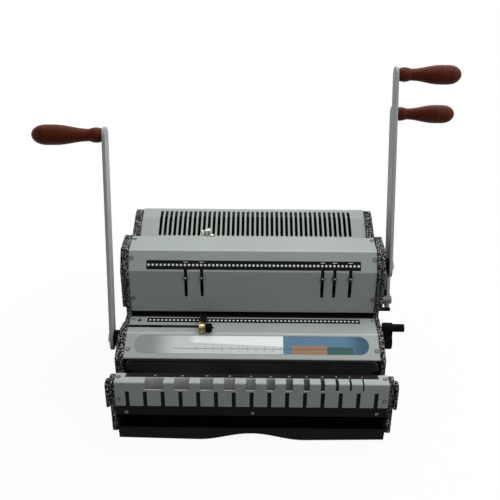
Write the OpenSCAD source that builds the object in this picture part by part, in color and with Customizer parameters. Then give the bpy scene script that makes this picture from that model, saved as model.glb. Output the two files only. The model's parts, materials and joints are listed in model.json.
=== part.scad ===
// Coil and wire binding machine: two hand punches, one over the other, with a wire closer in front.
// Millimetres, +Z up, +Y to the back. The origin is on the table under the middle of the machine.

/* [Width] */
// Clear width between the two side frames
panel_w = 391; // [350:1:440]
// Thickness of a side frame
frame_t = 8; // [6:0.5:10]
// Thickness of an upper end cover
end_t = 5; // [3:0.5:8]
// Thickness of a closer end plate
closer_end_t = 5.5; // [3:0.5:8]
// Thickness of the folded cover sheets
sheet_t = 1.6; // [1:0.1:2]
// How far the frames stand proud of the covers
frame_proud = 2; // [1:0.5:3]

/* [Upper cover] */
// Y of the upright front face
upper_front_y = -17.5; // [-20:0.5:-16]
// Z of the lower edge of the front face
upper_foot_z = 127; // [126.5:0.5:130]
// Z of the fold between front face and slant
upper_chin_z = 199.5; // [198:0.5:203]
// Y of the fold between slant and top
upper_fold_y = -1; // [-4:0.5:3]
// Z of the fold between slant and top
upper_fold_z = 229; // [225:0.5:232]
// Y of the back edge of the top
upper_back_y = 40; // [36:0.5:44]
// Z of the back edge of the top
upper_back_z = 235.5; // [233:0.5:238]

/* [Lower cover] */
// Y of the back edge of the paper table
lower_back_y = -24; // [-26:0.5:-22]
// Z of the back edge of the paper table
lower_back_z = 121; // [120:0.5:122]
// Y of the fold between table and slope
lower_fold_y = -66; // [-68:0.5:-62]
// Z of the fold between table and slope
lower_fold_z = 117; // [116.5:0.5:120]
// Y of the front edge of the slope
lower_foot_y = -103.5; // [-104.5:0.5:-99]
// Z of the front edge of the slope
lower_foot_z = 93.5; // [93:0.5:96]

/* [Slotted plate] */
// Y of the fold in the slotted plate
comb_fold_y = 135.5; // [130:0.5:140]
// Z of the fold in the slotted plate
comb_fold_z = 230; // [226:0.5:234]
// Y of the back of the machine's top
rear_top_y = 163; // [160:0.5:170]
// Z of the back of the machine's top
rear_top_z = 239.3; // [236:0.1:242]
// Plain width at each end of the row of wire slots
comb_margin = 26; // [20:0.5:40]
// Pitch of the wire slots, three to the inch
comb_pitch = 8.467; // [8:0.001:8.8]
// Width of a wire slot
comb_slot_w = 5; // [4:0.1:6]

/* [Closer] */
// Y of the front face of the channel
closer_front_y = -176; // [-180:0.5:-174]
// Z of the top of the channel
closer_top_z = 101.5; // [100:0.5:104]
// Z of the lower edge of the channel's front
closer_foot_z = 61; // [58:0.5:64]
// Depth of the channel's top flange
flange_d = 13.5; // [12:0.5:15]
// Depth of the number lip on the moving jaw
lip_d = 9.5; // [8:0.5:11]
// Sheet thickness of the channel
channel_t = 2; // [1.5:0.1:2.5]
// Pitch of the channel's open slots
channel_pitch = 25.4; // [24:0.1:26]
// Width of the channel's open slots
channel_slot_w = 5.8; // [3:0.1:6]
// Height of the channel's open slots
channel_slot_h = 25; // [20:0.5:27]
// Room for a pull bar between each end of the jaw and the frame
jaw_end_gap = 14.5; // [12:0.5:18]
// Y of the front face of the fixed closing bar
bar_front_y = -115; // [-117:0.5:-113]
// Thickness of the closing bar
bar_t = 6; // [4:0.5:8]
// Z of the top of the closing bar
bar_top_z = 97.5; // [94:0.5:99]

/* [Levers] */
// Length of the closer lever from its pivot to its grip
closer_reach = 317; // [290:1:330]
// Length of the upper punch's lever from its pivot to its grip
upper_reach = 305; // [280:1:320]
// Length of the lower punch's lever from its pivot to its grip
lower_reach = 314; // [290:1:325]
// Length of a lever below its pivot, up to the round end
lever_tail = 7; // [0:0.5:8]
// Width of a lever bar
lever_w = 25; // [20:0.5:28]
// Thickness of a lever bar
lever_t = 5.5; // [4:0.5:6]
// Angle that each lever swings forward
lever_sweep = 86; // [60:1:86]
// Lean of the closer lever behind upright
closer_lean = 11.8; // [8:0.1:16]
// Lean of the punch levers behind upright
punch_lean = 16.9; // [12:0.1:18]
// Y of the closer's pivot
closer_y = -52; // [-54:0.5:-50]
// Z of the closer's pivot
closer_z = 98.5; // [97:0.5:100]
// Y of the upper punch's pivot
upper_y = 29.8; // [28:0.1:32]
// Z of the upper punch's pivot
upper_z = 191; // [187:0.5:192]
// Y of the lower punch's pivot
lower_y = 71; // [68:0.5:74]
// Z of the lower punch's pivot
lower_z = 110.5; // [109:0.5:112]
// Length of the closer's wooden grip
closer_grip_len = 106.5; // [95:0.5:112]
// Length of a punch's wooden grip
punch_grip_len = 100; // [90:0.5:110]
// Largest radius of a wooden grip
grip_r = 15.2; // [13:0.1:17]

/* [Punches] */
// Least gap between the last punch pin and a guide post
pin_margin = 10; // [8:0.5:20]
// Pitch of the punch pins, four to the inch
pin_pitch = 6.35; // [6:0.01:6.4]
// Width across a punch pin
pin_d = 4; // [3:0.1:4.5]
// Ram travel for each radian that a lever turns
ram_rise = 9; // [7:0.1:9]
// Clear height of a paper throat
throat_gap = 5; // [4.5:0.1:6]
// Radius of a punch shaft
shaft_r = 9; // [7:0.5:9]
// Radius of the closer shaft
closer_shaft_r = 8; // [6:0.5:8]

/* [Tray and feet] */
// Gap between the tray's front and the plane of each frame
tray_front_gap = 1.5; // [1:0.1:6]
// Gap between the tray's box and each base rail
tray_gap = 4; // [2:0.5:10]
// Depth of the chip tray
tray_d = 285; // [250:1:300]
// Radius of a rubber foot
foot_r = 11; // [8:0.5:12]
// Height of a rubber foot
foot_h = 10; // [9:0.5:11]

/* [Hidden] */
$fn = 64;
// Clearances
run_gap = 0.05;     // radial gap of a shaft in its bush
slide_gap = 0.3;    // gap between pieces that slide past each other
// Places worked out from the widths
half_w = panel_w / 2;
frame_out = half_w + frame_t;
end_out = frame_out + end_t;
frame_foot_z = 14;
frame_back_y = rear_top_y + 5;
comb_foot = [87, 199];
comb_count = floor((panel_w - 2 * comb_margin) / comb_pitch);
bend_r = 2.5;
hub_gap = 0.5;
// Lever planes, measured from the middle
hub_cover_t = 3;
lever_gap = 10;
near_lever_x = end_out + hub_cover_t + lever_gap;
left_lever_x = 3 - near_lever_x;
lever_end_r = lever_w / 2;
hub_r = 12.5;
bolt_head_r = 8;
bolt_head_t = 3;
far_lever_x = near_lever_x + lever_t + bolt_head_t + 1;
// Bushes
bush_wall = 4;
// Upper punch, from front to back
rise_start = 1.15;                  // cam roll angle at rest, in radians
sweep_rad = lever_sweep * PI / 180;
ram_stroke = ram_rise * sweep_rad;
ram_t = 12;
upper_ram_y = upper_y + ram_rise * rise_start + slide_gap;
upper_strip_y = upper_ram_y + ram_t + ram_stroke + 0.6;
strip_t = 8;
upper_throat_y = upper_strip_y + strip_t;
upper_die_y = upper_throat_y + throat_gap;
die_t = 10;
upper_pin_z = upper_z - 14;
upper_die_top = 196;
upper_die_foot = 150;
stop_below_pin = 6;
// Lower punch, from the table up
lower_pin_y = -2;
lower_die_front = lower_back_y + 0.5;
lower_die_back = 10;
lower_strip_front = upper_front_y + 3;
lower_strip_z = lower_back_z + throat_gap;
lower_strip_t = 7.5;
lower_ram_z = lower_strip_z + lower_strip_t + ram_stroke + 0.6;
lower_ram_front = upper_front_y + 5.5;
lower_ram_back = 8;
lower_foot_top = lower_z - ram_rise * rise_start - slide_gap;
arm_front = 30;
arm_back = 42;
lobe_w = 14;
// Guide posts and spring rods
post_r = 5;
post_x = half_w - 17.5;
ram_half_w = half_w - 7.5;
lobe_x = post_x - 31;
pin_count = 2 * floor((post_x - post_r - pin_margin) / pin_pitch) + 1;
upper_post_z = 160;
spring_x = 100;
upper_rod = [8.5, 167];
lower_rod = [-2, 192];
rod_r = 4;
spring_r = 4;
wire_r = 0.7;
spring_turns = 9;
// Closer
gear_m = 2;
gear_n = 20;
gear_r = gear_m * gear_n / 2;
gear_w = 7;
jaw_half_w = half_w - jaw_end_gap;
gear_x = jaw_half_w + (jaw_end_gap - gear_w) * 0.4;
backlash = 0.3;
jaw_back_y = closer_front_y + flange_d + 0.5 + lip_d;
bed_t = 2;
bed_top_z = 66;
rack_z = closer_z - gear_r;
rack_body_z = rack_z - 1.25 * gear_m;
channel_slots = 2 * floor((half_w - 10) / channel_pitch) + 1;
notch_web = 3;
notch_foot_z = closer_foot_z + channel_slot_h + notch_web;
// Base
rail_w = 23.5;
rail_h = 28;
rail_t = 3;
rail_front_y = closer_front_y + channel_t + 2;
rail_back_y = 150;
tray_half_w = half_w - rail_w - tray_gap;
tray_front_half_w = half_w - tray_front_gap;
foot_y = 135;
foot_x = half_w - 12.5;
tray_foot_z = 5;
tray_top_z = 21.5;
tray_t = 1.5;
tray_skirt_t = 2.5;
// Selectors and guides
selector_x = [-106, -80.5, 110, 129, 154];
selector_top_z = 203;
selector_slot_h = 43.5;
selector_slot_w = 5.2;
selector_z = 189.5;
guide_x = -76;
guide_slot_y = -49;
guide_slot_w = 4;
guide_slot_end = 6;                 // slot beyond the guide's place
guide_rod_at = [70, 205.5];
guide_rod_r = 3;
// Knobs
margin_at = [4, 141];
lock_at = [-6, 129];

// Colours
grey_paint = [0.69, 0.71, 0.69];
black_paint = [0.06, 0.06, 0.065];
steel = [0.72, 0.72, 0.74];
wood = [0.45, 0.16, 0.09];
brass = [0.78, 0.62, 0.3];
black_plastic = [0.03, 0.03, 0.03];
rubber = [0.05, 0.05, 0.05];

// Lines and outlines in the side view, as [y, z] points
function unit(v) = v / norm(v);
function side(a, b) = let (d = unit(b - a)) [-d[1], d[0]];
// The arc that rounds corner p between a and b
function corner(a, p, b, r, n = 5) =
    let (u = unit(a - p), v = unit(b - p), half = acos(u * v) / 2,
         c = p + unit(u + v) * (r / sin(half)),
         p0 = p + u * (r / tan(half)), p1 = p + v * (r / tan(half)),
         a0 = atan2(p0[1] - c[1], p0[0] - c[0]),
         turn = ((atan2(p1[1] - c[1], p1[0] - c[0]) - a0 + 540) % 360) - 180)
    [for (i = [0:n]) c + r * [cos(a0 + turn * i / n), sin(a0 + turn * i / n)]];
// An open line with its inner corners rounded
function bent(pts, r) = [for (i = [0:len(pts) - 1])
    each (i == 0 || i == len(pts) - 1) ? [pts[i]] : corner(pts[i - 1], pts[i], pts[i + 1], r)];
// The same line moved sideways by t
function beside(path, t) = let (last = len(path) - 1) [for (i = [0:last])
    let (n1 = side(path[max(i - 1, 0)], path[max(i, 1)]),
         n2 = side(path[min(i, last - 1)], path[min(i + 1, last)]))
    path[i] + t * (n1 + n2) / (1 + n1 * n2)];
function reversed(list) = [for (i = [len(list) - 1:-1:0]) list[i]];
// A sheet of thickness t along a bent line
function sheet(pts, t) = let (path = bent(pts, bend_r)) concat(path, reversed(beside(path, t)));
// A closed outline whose points carry a corner radius, as [y, z, r]
function rounded(pts) = let (n = len(pts)) [for (i = [0:n - 1])
    let (a = pts[(i + n - 1) % n], p = pts[i], b = pts[(i + 1) % n])
    each p[2] > 0 ? corner([a[0], a[1]], [p[0], p[1]], [b[0], b[1]], p[2]) : [[p[0], p[1]]]];

// A side-view outline carried across from x0 to x1
module across(x0, x1) {
    translate([x0, 0, 0])
    rotate([90, 0, 90])
    linear_extrude(x1 - x0)
    children();
}
// A round bar along X
module bar(x0, x1, at, r) {
    translate([x0, at[0], at[1]])
    rotate([0, 90, 0])
    cylinder(h = x1 - x0, r = r);
}
// A box from one corner to the other
module block(low, high) {
    translate(low)
    cube(high - low);
}
module both_sides() {
    children();
    mirror([1, 0, 0])
    children();
}

// Side frames
upper_rim = [
    [upper_front_y - frame_proud, upper_chin_z + 0.5, 4],
    [upper_fold_y - 1.2, upper_fold_z + frame_proud, 5],
    [upper_back_y + 1, upper_back_z + frame_proud, 7],
    [upper_throat_y + throat_gap, upper_die_top + 5, 6],
    [comb_fold_y - 0.5, comb_fold_z + frame_proud + 0.5, 14],
    [frame_back_y, rear_top_z + frame_proud + 2.2, 14]
];
closer_post_back = jaw_back_y - 2.5;
frame_rim = concat(
    [[closer_front_y + channel_t, frame_foot_z, 3],
     [closer_front_y + channel_t, closer_top_z + frame_proud, 6],
     [closer_post_back, closer_top_z + frame_proud, 5],
     [closer_post_back + 6, bed_top_z - 4, 6],
     [lower_foot_y - frame_proud, bed_top_z - 4, 6],
     [lower_foot_y - frame_proud, lower_foot_z + 1, 3],
     [lower_fold_y - 1, lower_fold_z + frame_proud, 5],
     [upper_front_y - frame_proud, lower_back_z + frame_proud, 0]],
    upper_rim,
    [[frame_back_y, frame_foot_z, 5]]);

module frame_plate() {
    difference() {
        across(half_w, frame_out)
            polygon(rounded(frame_rim));
        bar(half_w - 1, frame_out + 1, [closer_y, closer_z], closer_shaft_r + bush_wall);
        bar(half_w - 1, frame_out + 1, [upper_y, upper_z], shaft_r + bush_wall);
        bar(half_w - 1, frame_out + 1, [lower_y, lower_z], shaft_r + bush_wall);
    }
}
module left_side_frame() {
    color(black_paint)
    mirror([1, 0, 0])
    frame_plate();
}
module right_side_frame() {
    color(black_paint)
    difference() {
        frame_plate();
        bar(half_w - 1, frame_out + 1, margin_at, margin_pin_r + run_gap);
        bar(half_w - 1, frame_out + 1, lock_at, lock_pin_r);
    }
}

end_foot_z = 135;
end_rim = concat(
    [[upper_front_y - frame_proud, end_foot_z, 3]],
    upper_rim,
    [[frame_back_y, end_foot_z, 5]]);
module end_cover() {
    across(frame_out, end_out)
        polygon(rounded(end_rim));
}
module end_covers() {
    color(black_paint) {
        difference() {
            end_cover();
            bar(frame_out - 1, end_out + 1, [upper_y, upper_z], hub_r + 1);
            bar(frame_out - 1, end_out + 1, margin_at, margin_pin_r + 1);
        }
        mirror([1, 0, 0])
        end_cover();
    }
}

closer_plate_rim = [
    [closer_front_y - 1, closer_foot_z - 4, 4],
    [closer_front_y - 1, closer_top_z - 1, 8],
    [closer_front_y + 15, closer_top_z - 1, 8],
    [closer_post_back + 5, bed_top_z, 6],
    [closer_post_back + 5, closer_foot_z - 4, 4]
];
// Doubler round the closer's bearing on the left, a little below the frame's own edge
doubler_rim = [
    [lower_foot_y - frame_proud, bed_top_z - 4, 6],
    [lower_foot_y - frame_proud, lower_foot_z + 1, 3],
    [lower_fold_y - 1, lower_fold_z - 2, 5],
    [upper_front_y - frame_proud, lower_back_z - 9, 8],
    [upper_front_y - frame_proud, bed_top_z - 4, 6]
];
module closer_end_plates() {
    color(black_paint) {
        both_sides()
        across(frame_out, frame_out + closer_end_t)
            polygon(rounded(closer_plate_rim));
        mirror([1, 0, 0])
        difference() {
            across(frame_out, frame_out + closer_end_t)
                polygon(rounded(doubler_rim));
            bar(frame_out - 1, frame_out + closer_end_t + 1, [closer_y, closer_z], hub_r + 1);
        }
    }
}

// Covers
upper_line = [
    [lower_strip_front, upper_foot_z],
    [upper_front_y, upper_foot_z],
    [upper_front_y, upper_chin_z],
    [upper_fold_y, upper_fold_z],
    [upper_back_y, upper_back_z],
    [upper_strip_y + 1, upper_die_top + sheet_t],
    [upper_throat_y, upper_die_top + sheet_t]
];
module upper_cover() {
    color(grey_paint)
    difference() {
        across(-half_w, half_w)
            polygon(sheet(upper_line, -sheet_t));
        for (x = selector_x)
            selector_slot(x);
    }
}
module selector_slot(x) {
    r = selector_slot_w / 2;
    translate([x, upper_front_y + 5, selector_top_z - r])
    rotate([90, 0, 0])
    linear_extrude(8) {
        circle(r);
        translate([-r, -selector_slot_h])
        square([2 * r, selector_slot_h]);
        translate([0, -selector_slot_h])
        circle(r);
    }
}

comb_line = [
    [upper_die_y, upper_die_top + sheet_t],
    comb_foot,
    [comb_fold_y, comb_fold_z],
    [rear_top_y, rear_top_z],
    [rear_top_y, rear_top_z - 16]
];
comb_slot_front = comb_fold_y - 31.5;
comb_slot_back = comb_fold_y + 18.5;
comb_shift = 3;
module slotted_plate() {
    color(grey_paint)
    difference() {
        across(-half_w, half_w)
            polygon(sheet(comb_line, -sheet_t));
        translate([0, 0, comb_fold_z - 30])
        linear_extrude(50)
        for (i = [0:comb_count - 1])
            translate([comb_shift + (i - (comb_count - 1) / 2) * comb_pitch, 0])
            comb_slot();
    }
}
module comb_slot() {
    r = comb_slot_w / 2;
    translate([0, comb_slot_front + r])
    circle(r, $fn = 24);
    translate([-r, comb_slot_front + r])
    square([2 * r, comb_slot_back - comb_slot_front - r]);
}

module rear_panel() {
    color(grey_paint)
    block([-half_w, rear_top_y, frame_foot_z], [half_w, rear_top_y + sheet_t, rear_top_z - 4]);
}

lower_line = [
    [lower_foot_y + 8, lower_foot_z - 1.5],
    [lower_foot_y, lower_foot_z],
    [lower_fold_y, lower_fold_z],
    [lower_back_y, lower_back_z],
    [lower_die_front, lower_back_z]
];
module lower_cover() {
    color(grey_paint)
    difference() {
        across(-half_w, half_w)
            polygon(sheet(lower_line, -sheet_t));
        block([-half_w - 1, guide_slot_y - guide_slot_w / 2, lower_fold_z - 8],
              [guide_x + guide_slot_end, guide_slot_y + guide_slot_w / 2, lower_back_z + 8]);
    }
}

// Closer
flange_back_y = closer_front_y + flange_d;
notch_widths = [26.6, 21, 18.4, 15.6, 13.4, 12.2, 9.8, 8.2, 5.7, 4.1, 2.8, 2];
notch_gap = 15.6;
notch_first_x = -152;
function notch_x(i) = i == 0 ? notch_first_x : notch_x(i - 1) + notch_widths[i - 1] + notch_gap;

channel_line = [
    [closer_front_y, closer_foot_z],
    [closer_front_y, closer_top_z],
    [flange_back_y, closer_top_z]
];
module closer_channel() {
    color(grey_paint)
    difference() {
        union() {
            across(-half_w, half_w)
                polygon(sheet(channel_line, -channel_t));
            both_sides()
            block([jaw_half_w + 1, flange_back_y - 1, closer_top_z - channel_t],
                  [half_w, jaw_back_y, closer_top_z]);
        }
        for (i = [0:channel_slots - 1])
            block([(i - (channel_slots - 1) / 2) * channel_pitch - channel_slot_w / 2,
                   closer_front_y - 1, closer_foot_z - 1],
                  [(i - (channel_slots - 1) / 2) * channel_pitch + channel_slot_w / 2,
                   closer_front_y + channel_t + 1, closer_foot_z + channel_slot_h]);
        for (i = [0:len(notch_widths) - 1])
            block([notch_x(i), closer_front_y - 1, notch_foot_z],
                  [notch_x(i) + notch_widths[i], flange_back_y + 1, closer_top_z + 1]);
    }
}

// The closing bar is stepped at its lower ends, where the pull bars pass
bar_half_w = half_w - 5;
bar_step_z = rack_z + gear_m + 1;
module closing_bar() {
    r = 10;
    color(black_paint)
    translate([0, bar_front_y + bar_t, 0])
    rotate([90, 0, 0])
    linear_extrude(bar_t)
    polygon(rounded([[-jaw_half_w, bed_top_z, 0], [jaw_half_w, bed_top_z, 0],
                     [jaw_half_w, bar_step_z, 0], [bar_half_w, bar_step_z, 0],
                     [bar_half_w, bar_top_z, r], [-bar_half_w, bar_top_z, r],
                     [-bar_half_w, bar_step_z, 0], [-jaw_half_w, bar_step_z, 0]]));
}

bed_back_y = -32;
tie_back_y = closer_front_y + channel_t + 3;
module closer_bed() {
    color(black_paint)
    block([-half_w, tie_back_y, bed_top_z - bed_t], [half_w, bed_back_y, bed_top_z]);
}
tie_foot_z = 43.5;
module front_tie_bar() {
    color(black_paint)
    block([-half_w, closer_front_y + channel_t, tie_foot_z],
          [half_w, tie_back_y, closer_foot_z + channel_slot_h + 1]);
}

// The moving jaw: a channel with the number lip on top and a wing at each end for its pull bar
jaw_front_y = jaw_back_y - lip_d;
jaw_line = [
    [jaw_front_y, bed_top_z + 6],
    [jaw_front_y, closer_top_z],
    [jaw_back_y, closer_top_z],
    [jaw_back_y, bed_top_z + 1]
];
module closer_jaw() {
    color(grey_paint) {
        across(-jaw_half_w, jaw_half_w)
            polygon(sheet(jaw_line, -channel_t));
        both_sides()
        block([jaw_half_w - 8, jaw_back_y - channel_t, bed_top_z + 1],
              [gear_x + gear_w, jaw_back_y, rack_body_z]);
    }
}

// Gear geometry: involute flanks of a twenty degree gear and the straight flanks of its rack
gear_pitch = PI * gear_m;
press_angle = 20;
base_r = gear_r * cos(press_angle);
tip_r = gear_r + gear_m;
root_r = gear_r - 1.25 * gear_m;
function involute_angle(r) = let (a = acos(min(1, base_r / r))) tan(a) * 180 / PI - a;
half_tooth = 90 / gear_n - backlash / 4 / gear_r * 180 / PI;
function tooth_half_angle(r) = half_tooth + involute_angle(gear_r) - involute_angle(max(r, base_r));
flank_steps = 5;
flank_r = [for (i = [0:flank_steps]) base_r + (tip_r - base_r) * i / flank_steps];
function polar(r, a) = r * [cos(a), sin(a)];
function tooth(a) = concat(
    [polar(root_r, a + tooth_half_angle(base_r))],
    [for (r = flank_r) polar(r, a + tooth_half_angle(r))],
    [for (r = reversed(flank_r)) polar(r, a - tooth_half_angle(r))],
    [polar(root_r, a - tooth_half_angle(base_r))]);
first_tooth = -1;
last_tooth = 6;
module toothed_sector() {
    step = 360 / gear_n;
    polygon(concat([[0, 0]],
        [for (i = [first_tooth:last_tooth]) each tooth(-90 - i * step)]));
    circle(closer_shaft_r + 4);
}
module closer_shaft() {
    color(steel)
    union() {
        bar(left_lever_x - lever_t, frame_out + knob_t, [closer_y, closer_z], closer_shaft_r);
        both_sides()
        translate([0, closer_y, closer_z])
        across(gear_x, gear_x + gear_w)
            toothed_sector();
    }
}
rack_first = -7;
rack_last = 2;
rack_half = gear_pitch / 4 - backlash / 4;
function rack_tooth(y) = [
    [y + rack_half + 1.25 * gear_m * tan(press_angle), rack_body_z],
    [y + rack_half - gear_m * tan(press_angle), rack_z + gear_m],
    [y - rack_half + gear_m * tan(press_angle), rack_z + gear_m],
    [y - rack_half - 1.25 * gear_m * tan(press_angle), rack_body_z]
];
rack_back_y = closer_y + (rack_last + 1) * gear_pitch;
module pull_bars() {
    color(black_paint)
    both_sides()
    across(gear_x, gear_x + gear_w)
        polygon(concat(
            [[rack_back_y, bed_top_z + slide_gap], [rack_back_y, rack_body_z]],
            [for (i = [rack_last:-1:rack_first]) each rack_tooth(closer_y + (i + 0.5) * gear_pitch)],
            [[jaw_back_y, rack_body_z], [jaw_back_y, bed_top_z + slide_gap]]));
}

// Base
module base_rails() {
    color(black_paint)
    both_sides()
    difference() {
        block([half_w - rail_w, rail_front_y, foot_h], [half_w, rail_back_y, foot_h + rail_h]);
        block([half_w - rail_w - 1, rail_front_y - 1, foot_h + rail_t],
              [half_w - rail_t, rail_back_y + 1, foot_h + rail_h + 1]);
    }
}
module rubber_feet() {
    color(rubber)
    both_sides()
    for (y = [-foot_y, foot_y])
        translate([foot_x, y, 0])
        rotate_extrude()
        polygon([[0, 0], [foot_r - 2, 0], [foot_r, 3], [foot_r, foot_h], [0, foot_h]]);
}

// The tray's front: its lower edge has two lobes and a finger arch between them. Behind the arch the floor
// is a raised shelf, to leave room for fingers.
tray_front_y = closer_front_y;
arch_z = 13.5;
lobe_z = 2;
tray_end_z = 4.5;
tray_skirt_top_z = 23.2;
arch_half_w = 77;
shelf_d = 22;
function skirt_edge(x) = abs(x) > arch_half_w
    ? lobe_z + (tray_end_z - lobe_z) * (abs(x) - arch_half_w) / (tray_front_half_w - arch_half_w)
    : lobe_z + (arch_z - lobe_z) * (1 + cos(180 * x / arch_half_w)) / 2;
skirt_steps = 48;
skirt_line = [for (i = [0:skirt_steps])
    let (x = tray_front_half_w * (2 * i / skirt_steps - 1)) [x, skirt_edge(x)]];
module chip_tray() {
    back_y = tray_front_y + tray_d;
    box_front_y = tray_front_y + tray_skirt_t;
    lip_z = foot_h + rail_t + slide_gap;
    shelf_z = arch_z + 0.5;
    color(black_plastic)
    union() {
        translate([0, box_front_y, 0])
        rotate([90, 0, 0])
        linear_extrude(tray_skirt_t)
        polygon(concat(skirt_line,
            [[tray_front_half_w, tray_skirt_top_z], [-tray_front_half_w, tray_skirt_top_z]]));
        block([-tray_half_w, box_front_y - 0.5, shelf_z],
              [tray_half_w, box_front_y + shelf_d + 0.5, shelf_z + tray_t]);
        difference() {
            block([-tray_half_w, box_front_y + shelf_d, tray_foot_z], [tray_half_w, back_y, tray_top_z]);
            block([-tray_half_w + tray_t, box_front_y + shelf_d + tray_t, tray_foot_z + tray_t],
                  [tray_half_w - tray_t, back_y - tray_t, tray_top_z + 1]);
        }
        both_sides()
        block([tray_half_w - 0.5, box_front_y - 0.5, lip_z],
              [tray_half_w + tray_gap + 12, back_y, lip_z + tray_t]);
    }
}

// Punch shafts: a round shaft with two cam lobes. A lobe's working flank is the involute of the shaft, so
// that a flat ram face moves by ram_rise for each radian that the lever turns.
function involute(t) = ram_rise * [cos(t * 180 / PI) + t * sin(t * 180 / PI),
                                   sin(t * 180 / PI) - t * cos(t * 180 / PI)];
lobe_end = rise_start + sweep_rad + 0.06;
lobe_steps = 24;
// The lobe as it stands when its flank meets a face ahead of it, on the +Y side and below the shaft
module cam_lobe() {
    rotate(rise_start * 180 / PI - 90)
    mirror([0, 1])
    polygon(concat([[0, 0]],
        [for (i = [0:lobe_steps]) involute(lobe_end * i / lobe_steps)],
        [involute(lobe_end) * 0.9 + [ram_rise, 0] * 0.1]));
}
module punch_shaft(at, turn, x1) {
    bar(-frame_out, x1, at, shaft_r);
    both_sides()
    translate([0, at[0], at[1]])
    across(lobe_x - lobe_w / 2, lobe_x + lobe_w / 2)
        rotate(turn)
        cam_lobe();
}
module upper_shaft() {
    color(steel)
    punch_shaft([upper_y, upper_z], 0, near_lever_x + lever_t);
}
module lower_shaft() {
    color(steel)
    punch_shaft([lower_y, lower_z], -90, far_lever_x + lever_t);
}

module pin_row() {
    for (i = [0:pin_count - 1])
        translate([(i - (pin_count - 1) / 2) * pin_pitch, 0, 0])
        children();
}
// Upper punch
module upper_ram() {
    color(steel)
    difference() {
        block([-ram_half_w, upper_ram_y, upper_post_z - 9], [ram_half_w, upper_ram_y + ram_t, upper_z + 1]);
        both_sides()
        translate([post_x, upper_ram_y - 1, upper_post_z])
        rotate([-90, 0, 0])
        cylinder(h = ram_t + 2, r = post_r + run_gap);
    }
}
upper_pin_tip = upper_throat_y - 1;
module upper_pins() {
    color(steel)
    pin_row()
    translate([0, upper_ram_y + ram_t, upper_pin_z])
    rotate([-90, 0, 0])
    cylinder(h = upper_pin_tip - upper_ram_y - ram_t, d = pin_d, $fn = 24);
}
module upper_plate(y0, y1, hole_r) {
    difference() {
        block([-half_w, y0, upper_die_foot], [half_w, y1, upper_die_top]);
        pin_row()
        translate([0, y0 - 1, upper_pin_z])
        rotate([-90, 0, 0])
        cylinder(h = y1 - y0 + 2, r = hole_r, $fn = 24);
    }
}
pin_gap = 0.08;
module upper_stripper() {
    color(steel)
    upper_plate(upper_strip_y, upper_throat_y, pin_d / 2 + pin_gap);
}
module upper_die() {
    color(steel)
    union() {
        upper_plate(upper_die_y, upper_die_y + die_t, pin_d / 2 + pin_gap);
        block([-half_w, upper_throat_y, upper_die_foot],
              [half_w, upper_die_y, upper_pin_z - stop_below_pin]);
    }
}
// Lower punch, with square pins
module square_post(z0, z1, w) {
    translate([-w / 2, lower_pin_y - w / 2, z0])
    cube([w, w, z1 - z0]);
}
module lower_ram() {
    color(steel)
    difference() {
        union() {
            block([-ram_half_w, lower_ram_front, lower_ram_z],
                  [ram_half_w, lower_ram_back, lower_ram_z + ram_t]);
            both_sides()
            across(lobe_x - lobe_w / 2 - 1, lobe_x + lobe_w / 2 + 1)
                polygon([[lower_ram_back - 1, lower_ram_z], [lower_die_back + 4, lower_ram_z],
                         [arm_front, lower_ram_z - 8],
                         [arm_front, lower_foot_top - 8], [lower_y + 4, lower_foot_top - 8],
                         [lower_y + 4, lower_foot_top], [arm_back, lower_foot_top],
                         [arm_back, lower_ram_z], [lower_ram_back - 1, lower_ram_z + ram_t - 2]]);
        }
        both_sides()
        translate([post_x, lower_pin_y, lower_ram_z - 1])
        cylinder(h = ram_t + 2, r = post_r + run_gap);
    }
}
lower_pin_tip = lower_strip_z + 1;
module lower_pins() {
    color(steel)
    pin_row()
    square_post(lower_pin_tip, lower_ram_z, pin_d);
}
module lower_stripper() {
    color(steel)
    difference() {
        block([-half_w, lower_strip_front, lower_strip_z],
              [half_w, lower_die_back, lower_strip_z + lower_strip_t]);
        pin_row()
        square_post(lower_strip_z - 1, lower_strip_z + lower_strip_t + 1, pin_d + 2 * pin_gap);
    }
}
module lower_die() {
    color(steel)
    difference() {
        union() {
            block([-half_w, lower_die_front, lower_back_z - die_t], [half_w, lower_die_back, lower_back_z]);
            block([-half_w, lower_pin_y + stop_below_pin, lower_back_z],
                  [half_w, lower_die_back, lower_strip_z]);
        }
        pin_row()
        square_post(lower_back_z - die_t - 1, lower_back_z + 1, pin_d + 2 * pin_gap);
    }
}
module guide_posts() {
    color(steel)
    both_sides() {
        translate([post_x, upper_y - 8, upper_post_z])
        rotate([-90, 0, 0])
        cylinder(h = upper_strip_y - upper_y + 8, r = post_r);
        translate([post_x, lower_pin_y, lower_strip_z + lower_strip_t])
        cylinder(h = ram_stroke + ram_t + 2.5, r = post_r);
    }
}
module spring_rods() {
    color(steel) {
        bar(-half_w, half_w, upper_rod, rod_r);
        bar(-half_w, half_w, lower_rod, rod_r);
    }
}

// Return springs: one helical tube each, along +Z from the origin
ring_sides = 6;
turn_rings = 8;
function coil_point(a, h) = [spring_r * cos(a), spring_r * sin(a), h];
module coil(h) {
    n = spring_turns * turn_rings;
    rise = h - 2 * wire_r;
    points = [for (i = [0:n]) let (a = 360 * i / turn_rings, c = coil_point(a, wire_r + rise * i / n))
        for (j = [0:ring_sides - 1]) let (b = 360 * j / ring_sides)
            c + wire_r * [cos(b) * cos(a), cos(b) * sin(a), sin(b)]];
    faces = concat(
        [[for (j = [0:ring_sides - 1]) j]],
        [for (i = [0:n - 1]) for (j = [0:ring_sides - 1]) each
            [[i * ring_sides + j, (i + 1) * ring_sides + j, (i + 1) * ring_sides + (j + 1) % ring_sides],
             [i * ring_sides + j, (i + 1) * ring_sides + (j + 1) % ring_sides,
              i * ring_sides + (j + 1) % ring_sides]]],
        [[for (j = [ring_sides - 1:-1:0]) n * ring_sides + j]]);
    polyhedron(points, faces);
}
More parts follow.
